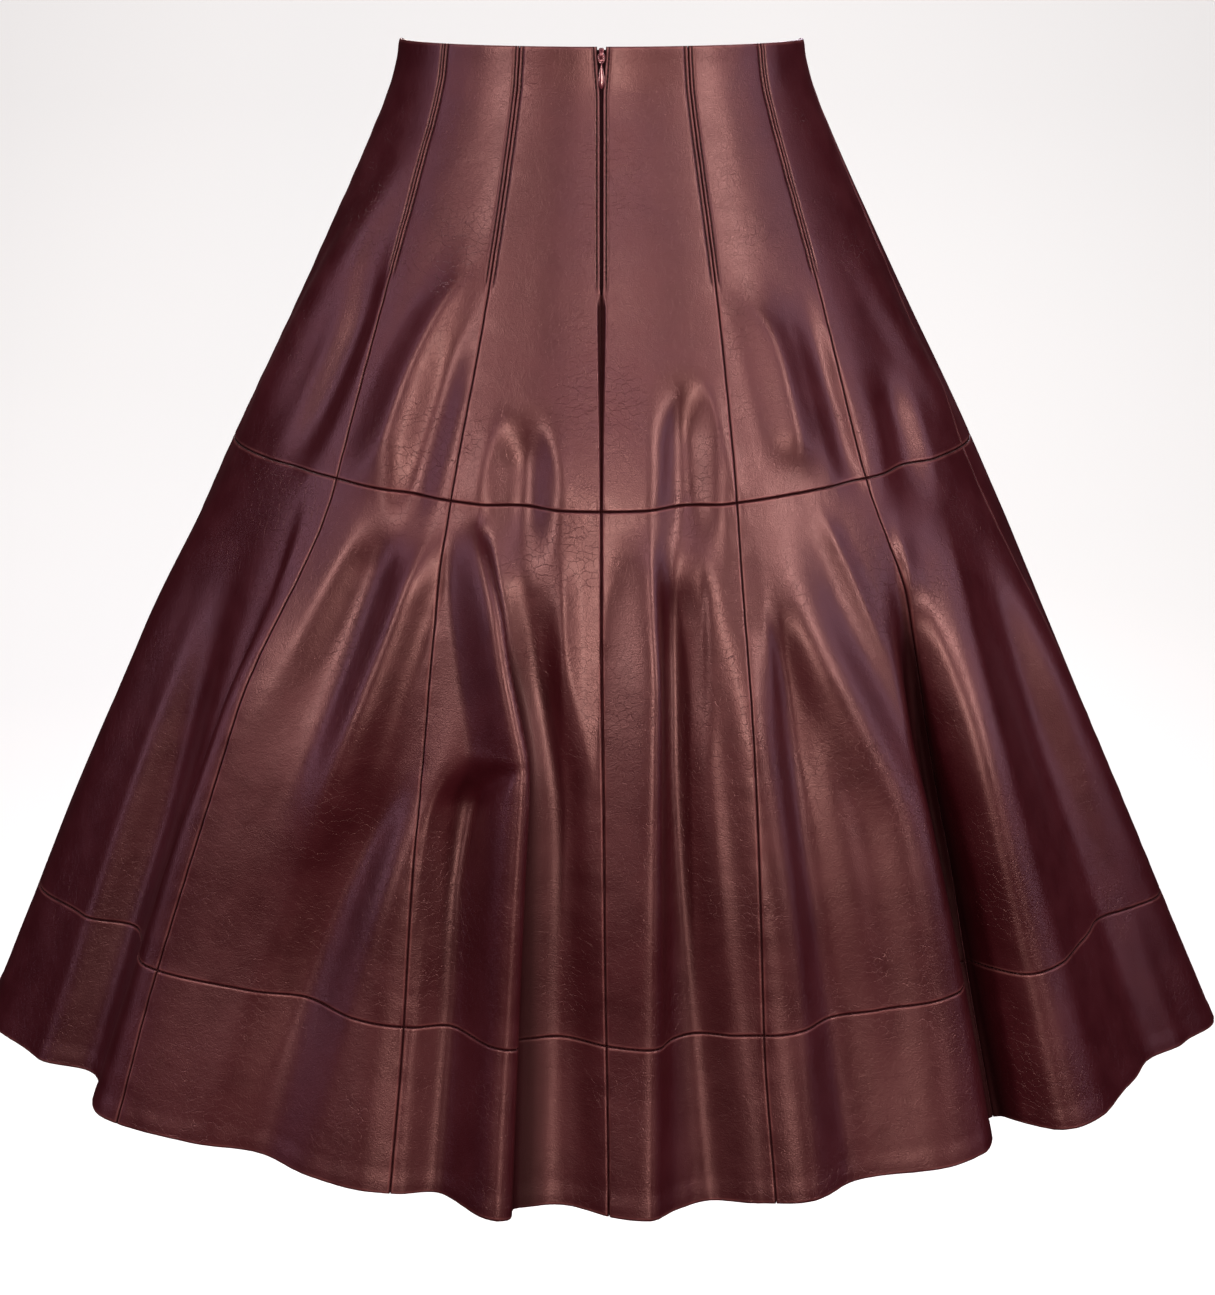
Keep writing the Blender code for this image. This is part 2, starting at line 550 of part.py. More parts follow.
def main():
    """Build the skirt."""
    for obj in list(bpy.data.objects):
        bpy.data.objects.remove(obj, do_unlink=True)
    parts = new_collection("flared_leather_skirt")
    cutters = new_collection("cutters")
    leather = principled("oxblood_leather", LEATHER_COLOR, 0.38)
    build_gores(parts, leather)
    build_zip(parts, cutters)


main()
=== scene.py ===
"""Looks of a flared leather skirt: gored yoke, skirt tier and hem band, and a centre back zip.

Metres, +Z up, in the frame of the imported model: the origin is the middle of the waist, -Y is the
centre back and +X the wearer's right. The leather lies on the form of the solids that it stands
for, with rolled seams, stitched channels and soft undulations added.
"""

import logging  # noqa: E402
import math  # noqa: E402
from dataclasses import dataclass, field  # noqa: E402
from enum import Enum  # noqa: E402

import bmesh  # noqa: E402
import bpy  # noqa: E402
import numpy as np  # noqa: E402
from mathutils import Matrix, Vector  # noqa: E402


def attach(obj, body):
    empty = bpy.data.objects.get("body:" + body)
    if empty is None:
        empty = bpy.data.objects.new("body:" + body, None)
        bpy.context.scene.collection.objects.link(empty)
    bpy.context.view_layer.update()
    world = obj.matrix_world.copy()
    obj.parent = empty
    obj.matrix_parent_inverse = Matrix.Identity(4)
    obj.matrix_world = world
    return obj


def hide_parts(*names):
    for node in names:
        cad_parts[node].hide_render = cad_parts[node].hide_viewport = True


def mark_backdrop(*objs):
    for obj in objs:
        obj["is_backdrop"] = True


LOG = logging.getLogger("skirt")
MM = 0.001
Numbers = float | tuple | list | np.ndarray
Socket = bpy.types.NodeSocket

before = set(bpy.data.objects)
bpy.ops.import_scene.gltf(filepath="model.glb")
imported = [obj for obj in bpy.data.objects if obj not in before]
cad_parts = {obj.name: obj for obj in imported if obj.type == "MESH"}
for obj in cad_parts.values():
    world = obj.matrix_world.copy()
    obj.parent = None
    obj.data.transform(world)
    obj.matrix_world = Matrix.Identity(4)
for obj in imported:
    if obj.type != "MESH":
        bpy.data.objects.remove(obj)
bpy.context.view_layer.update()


# ------------------------------------------------------------------ the cut and its folds
@dataclass(frozen=True)
class Section:
    """One oval section of the skirt: how low it lies, how wide, how deep, and how it dips."""

    drop: float
    half_width: float
    half_depth: float
    back_dip: float
    front_dip: float


@dataclass(frozen=True)
class Seam:
    """A seam that runs down the skirt, in degrees round from the centre back at SEAM_LEVELS."""

    name: str
    degrees: tuple[float, ...]


@dataclass(frozen=True)
class Fold:
    """A fold of the leather: its path as (drop, degrees), its reach, height, lean and run."""

    name: str
    path: tuple[tuple[float, float], ...]
    left: float
    right: float
    height: float
    lean: float = 0.0
    rise: float = 0.15
    fade: float = 0.0


@dataclass(frozen=True)
class Crease:
    """A crisp ridge, or a valley if its height is negative, that a fold's crest is drawn up to.

    Its path is given as (drop, degrees), its reach to each side in degrees, its height in
    millimetres, the drops over which it rises and fades, and how much shade is painted into its
    bottom, 0 to 1.
    """

    path: tuple[tuple[float, float], ...]
    left: float
    right: float
    height: float
    rise: float = 0.05
    fade: float = 0.0
    # shade painted into the bottom of a valley, 0 to 1
    dark: float = 0.0


SECTIONS = (
    Section(0.000, 0.1402, 0.0940, 0.000, 0.0140),
    Section(0.030, 0.1475, 0.0985, 0.001, 0.0135),
    Section(0.077, 0.1675, 0.1130, 0.004, 0.0130),
    Section(0.127, 0.1912, 0.1310, 0.007, 0.0125),
    Section(0.184, 0.2188, 0.1510, 0.010, 0.0120),
    Section(0.280, 0.2665, 0.1896, 0.0155, 0.013),
    Section(0.412, 0.3265, 0.2270, 0.021, 0.0160),
    Section(0.520, 0.3745, 0.2510, 0.025, 0.0190),
    Section(0.612, 0.4140, 0.2700, 0.029, 0.0220),
    Section(0.716, 0.4580, 0.3010, 0.034, 0.0260),
)
OVAL_POWER = 1.12           # above 1 draws the oval in a little between back and sides
DIP_POWER = 4
TURN_STEP = 0.05            # degrees, over which a direction round the skirt is measured
DROP_STEP = 0.0005          # metres, over which a direction down it is measured
FRONT_EASE = 0.2            # the front hangs lower from just past the side seams on

SEAM_LEVELS = (0.000, 0.145, 0.280, 0.362, 0.612, 0.716)
SEAMS = (
    Seam("center_back", (0.0, 0.0, 0.0, 0.0, 0.0, 0.0)),
    Seam("right_back_inner", (24.4, 22.4, 19.8, 18.3, 15.1, 14.7)),
    Seam("right_back_outer", (50.4, 46.1, 42.6, 43.9, 40.6, 39.4)),
    Seam("right_side", (88.0, 80.0, 73.5, 73.2, 77.2, 78.0)),
    Seam("right_front_outer", (128.0, 127.0, 124.0, 124.0, 124.0, 124.0)),
    Seam("right_front_inner", (155.0, 155.0, 154.0, 154.0, 154.0, 154.0)),
    Seam("center_front", (180.0, 180.0, 180.0, 180.0, 180.0, 180.0)),
    Seam("left_front_inner", (205.0, 205.0, 206.0, 206.0, 206.0, 206.0)),
    Seam("left_front_outer", (232.0, 234.0, 237.0, 237.0, 237.0, 237.0)),
    Seam("left_side", (270.0, 271.0, 271.0, 271.3, 272.0, 272.0)),
    Seam("left_back_outer", (311.0, 314.5, 317.5, 318.2, 316.4, 316.5)),
    Seam("left_back_inner", (337.0, 338.1, 337.8, 338.4, 341.3, 341.9)),
)
GORES = (
    "back_right_inner", "back_right_mid", "back_right_side",
    "front_right_side", "front_right_mid", "front_right_inner",
    "front_left_inner", "front_left_mid", "front_left_side",
    "back_left_side", "back_left_mid", "back_left_inner",
)

OPENING_LEVELS = (0.000, 0.012, 0.030, 0.147, 0.152, 0.200)
OPENING_WIDTHS = (0.0060, 0.0046, 0.0017, 0.0015, 0.0003, 0.0003)

HEM_END = 0.730
FOLDS = (
    # yoke, back
    Fold("side_bow_left", ((0.05, -48), (0.105, -59), (0.19, -69), (0.28, -72)),
         13, 13, 0.0060, 0.0, 0.10, 0.05),
    Fold("hollow_by_outer_seam", ((0.12, -51), (0.20, -50), (0.30, -53)),
         8, 5, -0.0070, 0.0, 0.08, 0.06),
    Fold("diagonal_left", ((0.11, -26), (0.16, -30), (0.21, -34), (0.30, -36)),
         8, 7, 0.0060, 0.0, 0.08, 0.05),
    Fold("hollow_left_inner", ((0.17, -26), (0.23, -27.5), (0.31, -29)),
         5, 5, -0.0050, 0.0, 0.06, 0.04),
    Fold("arch_left", ((0.215, -12), (0.28, -11.5), (0.33, -11)),
         6.5, 6.0, -0.0105, 0.0, 0.045, 0.05),
    Fold("arch_right", ((0.195, 14), (0.24, 13), (0.33, 11.5)),
         6.0, 6.0, -0.0115, 0.0, 0.05, 0.06),
    Fold("diagonal_right", ((0.13, 28), (0.19, 31), (0.28, 31.5)),
         7, 8, 0.0055, 0.0, 0.08, 0.04),
    Fold("hollow_right_outer", ((0.15, 41), (0.21, 41), (0.30, 40)),
         5, 4, -0.0050, 0.0, 0.08, 0.04),
    Fold("side_arch_right", ((0.205, 55), (0.25, 55.5), (0.32, 50)),
         8.5, 7, -0.0090, 0.0, 0.05, 0.05),
    Fold("side_bow_right", ((0.12, 63), (0.20, 68), (0.28, 73)),
         10, 12, 0.0055, 0.0, 0.10, 0.05),
    # skirt tier and hem band, back
    Fold("flute_left_side", ((0.28, -72), (0.36, -76), (0.50, -78), (HEM_END, -78)),
         13, 13, 0.0110, 0.0, 0.14, 0.0),
    Fold("trough_left_side", ((0.30, -59), (0.45, -58), (HEM_END, -55.5)),
         8, 7, -0.0200, -0.003, 0.26, 0.0),
    Fold("flute_left_outer", ((0.28, -40), (0.38, -42), (0.50, -44), (HEM_END, -45)),
         7.5, 12, 0.0150, -0.0170, 0.16, 0.0),
    Fold("trough_upper_left", ((0.29, -31.5), (0.38, -34), (0.48, -37)),
         5, 4.5, -0.0070, 0.0, 0.05, 0.12),
    Fold("diagonal_ridge_left", ((0.285, -24), (0.37, -27), (0.45, -30.3), (0.56, -35)),
         5, 5, 0.0080, 0.0, 0.06, 0.14),
    Fold("trough_lower_left", ((0.36, -20), (0.45, -23.5), (0.55, -28.2), (HEM_END, -31.5)),
         6, 6, -0.0110, 0.0, 0.18, 0.0),
    Fold("flute_left_inner", ((0.42, -19), (0.55, -21), (HEM_END, -21)),
         6, 5, 0.0040, 0.0, 0.14, 0.0),
    Fold("kinked_ridge", ((0.282, -18.6), (0.35, -15), (0.43, -10.8), (0.50, -10.2), (HEM_END, -9.6)),
         5.0, 3.2, 0.0150, 0.0120, 0.07, 0.0),
    Fold("trough_below_kink", ((0.436, -14), (0.475, -15.4), (0.60, -14.7), (HEM_END, -14.2)),
         3.6, 4.0, -0.0130, 0.0, 0.035, 0.0),
    Fold("recess_left_of_zip", ((0.29, -11.5), (0.38, -8), (0.46, -5), (HEM_END, -3.6)),
         4.0, 4.5, -0.0120, 0.0, 0.12, 0.0),
    Fold("flute_center", ((0.28, 6.5), (0.36, 4.8), (0.48, 3.6), (HEM_END, 2.4)),
         4.8, 4.2, 0.0100, 0.0100, 0.12, 0.0),
    Fold("recess_right", ((0.28, 11), (0.38, 9.2), (0.50, 8.6), (HEM_END, 9.2)),
         4.2, 4.5, -0.0120, 0.0, 0.10, 0.0),
    Fold("flute_right_inner", ((0.30, 17), (0.40, 17.2), (HEM_END, 17.0)),
         4.6, 5.0, 0.0080, 0.0, 0.14, 0.0),
    Fold("trough_right_inner", ((0.33, 23), (0.45, 22.4), (HEM_END, 22.8)),
         4.0, 5.0, -0.0060, 0.0, 0.12, 0.0),
    Fold("broad_ridge_right", ((0.29, 25), (0.35, 26.8), (0.43, 31), (0.50, 34), (HEM_END, 31)),
         6.0, 6.5, 0.0090, 0.0, 0.12, 0.0),
    Fold("deep_fold_right", ((0.32, 43.6), (0.42, 42.6), (0.52, 41.2), (HEM_END, 39.2)),
         5.0, 4.5, -0.0300, 0.0, 0.20, 0.0),
    Fold("flute_right_outer", ((0.29, 56), (0.38, 51), (0.52, 48.2), (HEM_END, 46.6)),
         7.0, 10, 0.0200, -0.0120, 0.20, 0.0),
    Fold("trough_right_side", ((0.32, 64), (0.45, 62), (HEM_END, 62)),
         7, 7, -0.0100, 0.0, 0.18, 0.0),
    Fold("flute_right_side", ((0.30, 70), (0.45, 71.5), (HEM_END, 77)),
         8, 10, 0.0110, 0.0, 0.16, 0.0),
    # front, which hangs in the same way
    Fold("front_trough_a", ((0.34, 92), (HEM_END, 93)), 9, 8, -0.0160, 0.0, 0.20, 0.0),
    Fold("front_flute_a", ((0.29, 107), (0.45, 109), (HEM_END, 110)), 10, 9, 0.0140, 0.0, 0.16, 0.0),
    Fold("front_trough_b", ((0.36, 124), (HEM_END, 126)), 8, 8, -0.0170, 0.0, 0.20, 0.0),
    Fold("front_arch_b", ((0.20, 140), (0.30, 138)), 8, 8, -0.0080, 0.0, 0.05, 0.05),
    Fold("front_flute_b", ((0.30, 145), (0.45, 142), (HEM_END, 140)), 8, 7, 0.0140, 0.006, 0.16, 0.0),
    Fold("front_trough_c", ((0.34, 155), (HEM_END, 153)), 6, 6, -0.0150, 0.0, 0.18, 0.0),
    Fold("front_flute_c", ((0.29, 166), (0.45, 165), (HEM_END, 166)), 6, 6, 0.0120, 0.0, 0.14, 0.0),
    Fold("front_trough_d", ((0.31, 176), (HEM_END, 177)), 5, 5, -0.0130, 0.0, 0.16, 0.0),
    Fold("front_arch_d", ((0.21, 187), (0.30, 188)), 7, 7, -0.0090, 0.0, 0.05, 0.05),
    Fold("front_flute_d", ((0.30, 186), (0.44, 188), (HEM_END, 188)), 6, 5.5, 0.0130, -0.005, 0.14, 0.0),
    Fold("front_trough_e", ((0.36, 198), (HEM_END, 199)), 6, 6, -0.0150, 0.0, 0.20, 0.0),
    Fold("front_flute_e", ((0.29, 210), (0.45, 212), (HEM_END, 211)), 7, 7, 0.0120, 0.0, 0.15, 0.0),
    Fold("front_trough_f", ((0.34, 224), (HEM_END, 225)), 8, 7, -0.0180, 0.0, 0.22, 0.0),
    Fold("front_flute_f", ((0.29, 238), (0.50, 239), (HEM_END, 240)), 8, 9, 0.0140, 0.0, 0.18, 0.0),
    Fold("front_trough_g", ((0.38, 255), (HEM_END, 257)), 9, 9, -0.0150, 0.0, 0.22, 0.0),
    Fold("front_flute_g", ((0.32, 268), (HEM_END, 269)), 8, 8, 0.0060, 0.0, 0.18, 0.0),
)

CREASE_GAIN = 1.35          # every crease stands this much higher than its row says
# crisp crests and valleys placed one by one: the back from left to right, then the front
CREASES = (
    Crease(((0.29, -47.1), (0.40, -44.8), (0.47, -45.3), (0.61, -49), (HEM_END, -50.5)), 2.0, 6.0, 2.6),
    Crease(((0.134, -25.8), (0.16, -29.9), (0.186, -32.3), (0.215, -33.9), (0.27, -35)), 4.0, 3.0, 1.6,
           0.03, 0.03),
    Crease(((0.296, -24.3), (0.368, -27.1), (0.452, -30.4), (0.54, -33.5)), 4.0, 3.5, 1.9, 0.04, 0.08),
    Crease(((0.451, -23.4), (0.541, -28.1), (0.68, -32.0)), 3.5, 3.5, -1.9, 0.05, 0.08),
    Crease(((0.225, -14.5), (0.239, -17.0), (0.285, -18.6)), 3.0, 2.0, 0.7, 0.02, 0.02),
    Crease(((0.222, -11.0), (0.230, -9.0), (0.262, -5.8), (0.285, -5.2)), 2.0, 3.0, 0.6, 0.02, 0.02),
    Crease(((0.284, -18.4), (0.324, -16.2), (0.375, -13.7), (0.412, -11.6), (0.434, -10.4),
            (0.50, -10.3), (0.70, -10.0), (HEM_END, -10.0)), 5.0, 2.0, 4.4, 0.03),
    # this valley's last number, 0.75, is shade painted into its bottom
    Crease(((0.330, -14.2), (0.375, -11.8), (0.411, -9.9), (0.456, -8.6), (0.62, -7.2),
            (HEM_END, -6.8)), 1.6, 3.2, -4.4, 0.06, 0.0, 0.75),
    Crease(((0.432, -10.8), (0.444, -12.4), (0.470, -14.6), (0.56, -15.6)), 3.2, 1.4, -3.4, 0.010, 0.10),
    Crease(((0.430, -15.0), (0.47, -17.8), (0.60, -18.2), (HEM_END, -17.6)), 4.2, 3.2, -2.4, 0.05),
    Crease(((0.298, -5.3), (0.38, -4.6), (0.50, -4.2)), 2.4, 2.4, 1.6, 0.04, 0.10),
    Crease(((0.283, 6.9), (0.365, 4.8), (0.485, 3.8), (HEM_END, 2.7)), 5.0, 2.4, 2.2, 0.04),
    Crease(((0.300, 10.2), (0.38, 9.2), (0.456, 8.4), (0.62, 8.6)), 2.2, 3.0, -2.4, 0.05, 0.12),
    Crease(((0.203, 12.8), (0.223, 10.5), (0.285, 7.6)), 2.8, 2.0, 0.7, 0.02, 0.02),
    Crease(((0.199, 15.5), (0.204, 16.9), (0.222, 18.4), (0.28, 19.9)), 2.0, 2.6, 0.7, 0.02, 0.02),
    Crease(((0.308, 13.7), (0.36, 12.6), (0.442, 11.3)), 2.4, 2.4, -1.7, 0.03, 0.06),
    Crease(((0.300, 22.0), (0.36, 21.0), (0.503, 19.6), (HEM_END, 17.6)), 4.0, 4.0, 2.1, 0.06),
    Crease(((0.340, 23.4), (0.40, 23.2), (0.50, 23.0)), 2.4, 2.6, -1.6, 0.04, 0.08),
    Crease(((0.155, 28.9), (0.189, 31.4), (0.272, 31.1)), 3.5, 4.0, 1.6, 0.03, 0.03),
    Crease(((0.286, 32.3), (0.34, 35.2), (0.42, 38.5)), 3.5, 3.0, 1.8, 0.03, 0.06),
    Crease(((0.440, 41.6), (0.504, 39.5), (0.616, 37.4), (HEM_END, 36.4)), 5.0, 2.0, 2.0, 0.06),
    # this valley's last number, 0.95, is shade painted into its bottom
    Crease(((0.330, 43.9), (0.42, 42.7), (0.52, 41.4), (0.62, 40.2), (HEM_END, 39.1)), 3.4, 2.4, -4.4, 0.10,
           0.0, 0.95),
    Crease(((0.300, 46.0), (0.362, 44.4), (0.509, 43.1), (0.615, 41.6), (HEM_END, 40.6)), 1.8, 6.0, 2.8),
    Crease(((0.30, 57.8), (0.38, 53.5), (0.453, 51.2), (HEM_END, 49.4)), 4.0, 4.0, 1.8, 0.06),
    Crease(((0.29, 106), (0.45, 109.5), (HEM_END, 109)), 4.5, 3.0, 2.4),
    Crease(((0.33, 139), (0.45, 141.5), (HEM_END, 138.5)), 3.0, 5.0, 2.6),
    Crease(((0.37, 149), (0.50, 147.5), (0.66, 149)), 3.0, 3.0, -2.2, 0.06, 0.10),
    Crease(((0.28, 163), (0.36, 166.5), (0.44, 164.5), (HEM_END, 165.5)), 2.4, 5.0, 2.8, 0.04),
    Crease(((0.44, 164.8), (0.456, 168.2), (0.49, 170), (HEM_END, 171)), 3.2, 3.4, -2.6, 0.02),
    Crease(((0.29, 189), (0.44, 188), (HEM_END, 187)), 5.0, 2.4, 2.4, 0.04),
    Crease(((0.31, 193.5), (0.42, 194.6), (0.54, 194)), 2.4, 2.8, -2.0, 0.05, 0.10),
    Crease(((0.30, 209), (0.45, 212.5), (HEM_END, 210.5)), 4.0, 4.0, 2.2),
    Crease(((0.15, 218), (0.20, 222), (0.272, 224)), 3.6, 3.6, 1.5, 0.03, 0.03),
    Crease(((0.31, 236), (0.50, 240), (HEM_END, 239)), 3.0, 5.0, 2.4),
    Crease(((0.34, 262), (0.50, 266), (HEM_END, 268)), 4.0, 4.0, 1.8, 0.08),
)


# ------------------------------------------------------------------ the form
def smooth_rows(levels: Numbers, rows: Numbers, drop: Numbers) -> np.ndarray:
    """Rows of numbers read at any drop, on one smooth curve through the table's rows.

    Args:
        levels: the drops of the table's rows.
        rows: one number or a row of numbers at each level.
        drop: where to read them.

    Returns:
        The rows at those drops, with the row's columns on the last axis.
    """
    levels = np.asarray(levels, dtype=float)
    rows = np.asarray(rows, dtype=float)
    if rows.ndim == 1:
        rows = rows[:, None]
    slopes = np.empty_like(rows)
    slopes[1:-1] = (rows[2:] - rows[:-2]) / (levels[2:] - levels[:-2])[:, None]
    slopes[0] = (rows[1] - rows[0]) / (levels[1] - levels[0])
    slopes[-1] = (rows[-1] - rows[-2]) / (levels[-1] - levels[-2])
    drop = np.clip(np.asarray(drop, dtype=float), levels[0], levels[-1])
    below = np.clip(np.searchsorted(levels, drop, side="right") - 1, 0, len(levels) - 2)
    step = (levels[below + 1] - levels[below])[..., None]
    t = (drop - levels[below])[..., None] / step
    return ((2 * t**3 - 3 * t**2 + 1) * rows[below]
            + (t**3 - 2 * t**2 + t) * step * slopes[below]
            + (3 * t**2 - 2 * t**3) * rows[below + 1]
            + (t**3 - t**2) * step * slopes[below + 1])


def ease(value: Numbers) -> np.ndarray:
    """0 to 1 with a soft start and end."""
    value = np.clip(value, 0.0, 1.0)
    return value * value * (3.0 - 2.0 * value)


def bump(distance: Numbers, width: Numbers) -> np.ndarray:
    """A soft bell, 1 in the middle and all but 0 past twice its width."""
    return np.exp(-(np.asarray(distance) / width) ** 2)


class SmoothNoise:
    """Smooth noise over (degrees, drop) from a seeded lattice that closes round the skirt."""

    def __init__(self, seed: int, columns: int, rows: int) -> None:
        """Draw the lattice.

        Args:
            seed: of the random lattice.
            columns: lattice cells round the skirt.
            rows: lattice cells in one metre of drop.
        """
        self.columns = columns
        self.rows = rows
        self.lattice = np.random.default_rng(seed).uniform(-1.0, 1.0, (columns, rows + 2))

    def __call__(self, degrees: np.ndarray, drop: np.ndarray) -> np.ndarray:
        """Noise at some places.

        Args:
            degrees: round from the centre back.
            drop: down from the waist.

        Returns:
            Noise from -1 to 1.
        """
        x = np.mod(degrees / 360.0, 1.0) * self.columns
        y = np.clip(drop, 0.0, 0.999) * self.rows
        i, j = np.floor(x).astype(int), np.floor(y).astype(int)
        s, t = ease(x - i), ease(y - j)
        i %= self.columns
        k = (i + 1) % self.columns
        top = self.lattice[i, j] * (1 - s) + self.lattice[k, j] * s
        bottom = self.lattice[i, j + 1] * (1 - s) + self.lattice[k, j + 1] * s
        return top * (1 - t) + bottom * t


@dataclass
class SkirtForm:
    """The outer surface of the skirt, as a function of degrees round and drop down."""

    sections: tuple[Section, ...] = SECTIONS
    folds: tuple[Fold, ...] = FOLDS
    creases: tuple[Crease, ...] = CREASES
    broad: SmoothNoise = field(default_factory=lambda: SmoothNoise(11, 44, 9))
    fine: SmoothNoise = field(default_factory=lambda: SmoothNoise(23, 120, 26))

    def fold_amount(self, fold: Fold, degrees: np.ndarray, drop: np.ndarray) -> np.ndarray:
        """How strongly a fold acts at each place.

        Args:
            fold: the fold.
            degrees: round from the centre back.
            drop: down from the waist.

        Returns:
            Shares from 0 to 1.
        """
        levels = [point[0] for point in fold.path]
        center = smooth_rows(levels, [point[1] for point in fold.path], drop)[..., 0]
        away = (degrees - center + 180.0) % 360.0 - 180.0
        reach = np.where(away < 0.0, fold.left, fold.right)
        across = np.cos(0.5 * math.pi * np.clip(away / reach, -1.0, 1.0)) ** 2
        along = ease((drop - levels[0]) / fold.rise + 0.02)
        if fold.fade > 0.0:
            along = along * ease((levels[-1] - drop) / fold.fade)
        return across * along

    def points(self, degrees: Numbers, drop: Numbers) -> np.ndarray:
        """Points of the large form.

        Args:
            degrees: round from the centre back.
            drop: down from the waist.

        Returns:
            x, y, z on the last axis.
        """
        degrees, drop = np.broadcast_arrays(np.asarray(degrees, float), np.asarray(drop, float))
        rows = [(row.half_width, row.half_depth, row.back_dip, row.front_dip) for row in self.sections]
        table = smooth_rows([row.drop for row in self.sections], rows, drop)
        half_width, half_depth, back_dip, front_dip = np.moveaxis(table, -1, 0)
        angle = np.radians(degrees)
        sine, cosine = np.sin(angle), np.cos(angle)
        depth = half_depth * np.sign(cosine) * np.abs(cosine) ** OVAL_POWER
        front_share = -cosine * ease(-cosine / FRONT_EASE)
        dip = np.where(cosine > 0.0, back_dip * cosine**DIP_POWER, front_dip * front_share)
        out_x, out_y = sine * half_depth, -cosine * half_width
        length = np.hypot(out_x, out_y)
        out_x, out_y = out_x / length, out_y / length
        proud = np.zeros_like(drop)
        round_shift = np.zeros_like(drop)
        for fold in self.folds:
            amount = self.fold_amount(fold, degrees, drop)
            proud = proud + fold.height * amount
            round_shift = round_shift + fold.lean * amount
        x = half_width * sine + out_x * proud - out_y * round_shift
        y = -depth + out_y * proud + out_x * round_shift
        return np.stack((x, y, -drop - dip), axis=-1)

    def directions(self, degrees: Numbers, drop: Numbers) -> tuple[np.ndarray, np.ndarray]:
        """Directions along the surface.

        Args:
            degrees: round from the centre back.
            drop: down from the waist.

        Returns:
            Unit vectors that run down the skirt, and unit vectors that run round it.
        """
        down = self.points(degrees, drop + DROP_STEP) - self.points(degrees, drop - DROP_STEP)
        across = self.points(degrees + TURN_STEP, drop) - self.points(degrees - TURN_STEP, drop)
        return (down / np.linalg.norm(down, axis=-1, keepdims=True),
                across / np.linalg.norm(across, axis=-1, keepdims=True))

    def normals(self, degrees: Numbers, drop: Numbers) -> np.ndarray:
        """Normals of the large form.

        Args:
            degrees: round from the centre back.
            drop: down from the waist.

        Returns:
            Outward unit vectors on the last axis.
        """
        normal = np.cross(*self.directions(degrees, drop))
        return normal / np.linalg.norm(normal, axis=-1, keepdims=True)

    def turn_per_metre(self, degrees: Numbers, drop: Numbers) -> np.ndarray:
        """How far one metre along the surface goes round the skirt.

        Args:
            degrees: round from the centre back.
            drop: down from the waist.

        Returns:
            Degrees in a metre.
        """
        step = self.points(degrees + TURN_STEP, drop) - self.points(degrees - TURN_STEP, drop)
        return 2.0 * TURN_STEP / np.linalg.norm(step, axis=-1)

    def undulation(self, degrees: np.ndarray, drop: np.ndarray) -> np.ndarray:
        """Small unevenness of the leather, and the crisp creases placed one by one.

        Args:
            degrees: round from the centre back.
            drop: down from the waist.

        Returns:
            Heights in metres.
        """
        grown = 0.35 + 0.65 * ease(drop / 0.35)
        relief = grown * (0.9 * self.broad(degrees, drop) + 0.10 * self.fine(degrees, drop))
        for crease in self.creases:
            relief = relief + self.crease_relief(crease, degrees, drop)
        return relief * MM

    def painted_valley_shade(self, degrees: np.ndarray, drop: np.ndarray) -> np.ndarray:
        """How much shade is painted into the bottoms of the deepest valleys.

        Args:
            degrees: round from the centre back.
            drop: down from the waist.

        Returns:
            Shares from 0 to 1.
        """
        shade = np.zeros_like(drop)
        for crease in self.creases:
            if crease.dark > 0.0:
                depth = self.crease_share(crease, degrees, drop)
                shade = np.maximum(shade, crease.dark * ease((depth - 0.12) / 0.6))
        return shade

    def crease_relief(self, crease: Crease, degrees: np.ndarray, drop: np.ndarray) -> np.ndarray:
        """Height of a crease in millimetres."""
        return CREASE_GAIN * crease.height * self.crease_share(crease, degrees, drop)

    def crease_share(self, crease: Crease, degrees: np.ndarray, drop: np.ndarray) -> np.ndarray:
        """Share of a crease's height: a narrow crest, all but sharp, along its path.

        Args:
            crease: the crease.
            degrees: round from the centre back.
            drop: down from the waist.

        Returns:
            Shares from 0 to 1.
        """
        levels = [point[0] for point in crease.path]
        center = smooth_rows(levels, [point[1] for point in crease.path], drop)[..., 0]
        away = (degrees - center + 180.0) % 360.0 - 180.0
        reach = np.where(away < 0.0, crease.left, crease.right)
        blunt = 0.07
        share = np.sqrt((away / reach) ** 2 + blunt**2) - blunt
        along = ease((drop - levels[0]) / crease.rise)
        if crease.fade > 0.0:
            along = along * ease((levels[-1] - drop) / crease.fade)
        return np.clip(1.0 - share, 0.0, 1.0) ** 1.7 * along


def seam_degrees(seam: Seam, drop: Numbers) -> np.ndarray:
    """Where a seam lies round the skirt at some drops."""
    return smooth_rows(SEAM_LEVELS, seam.degrees, drop)[..., 0]


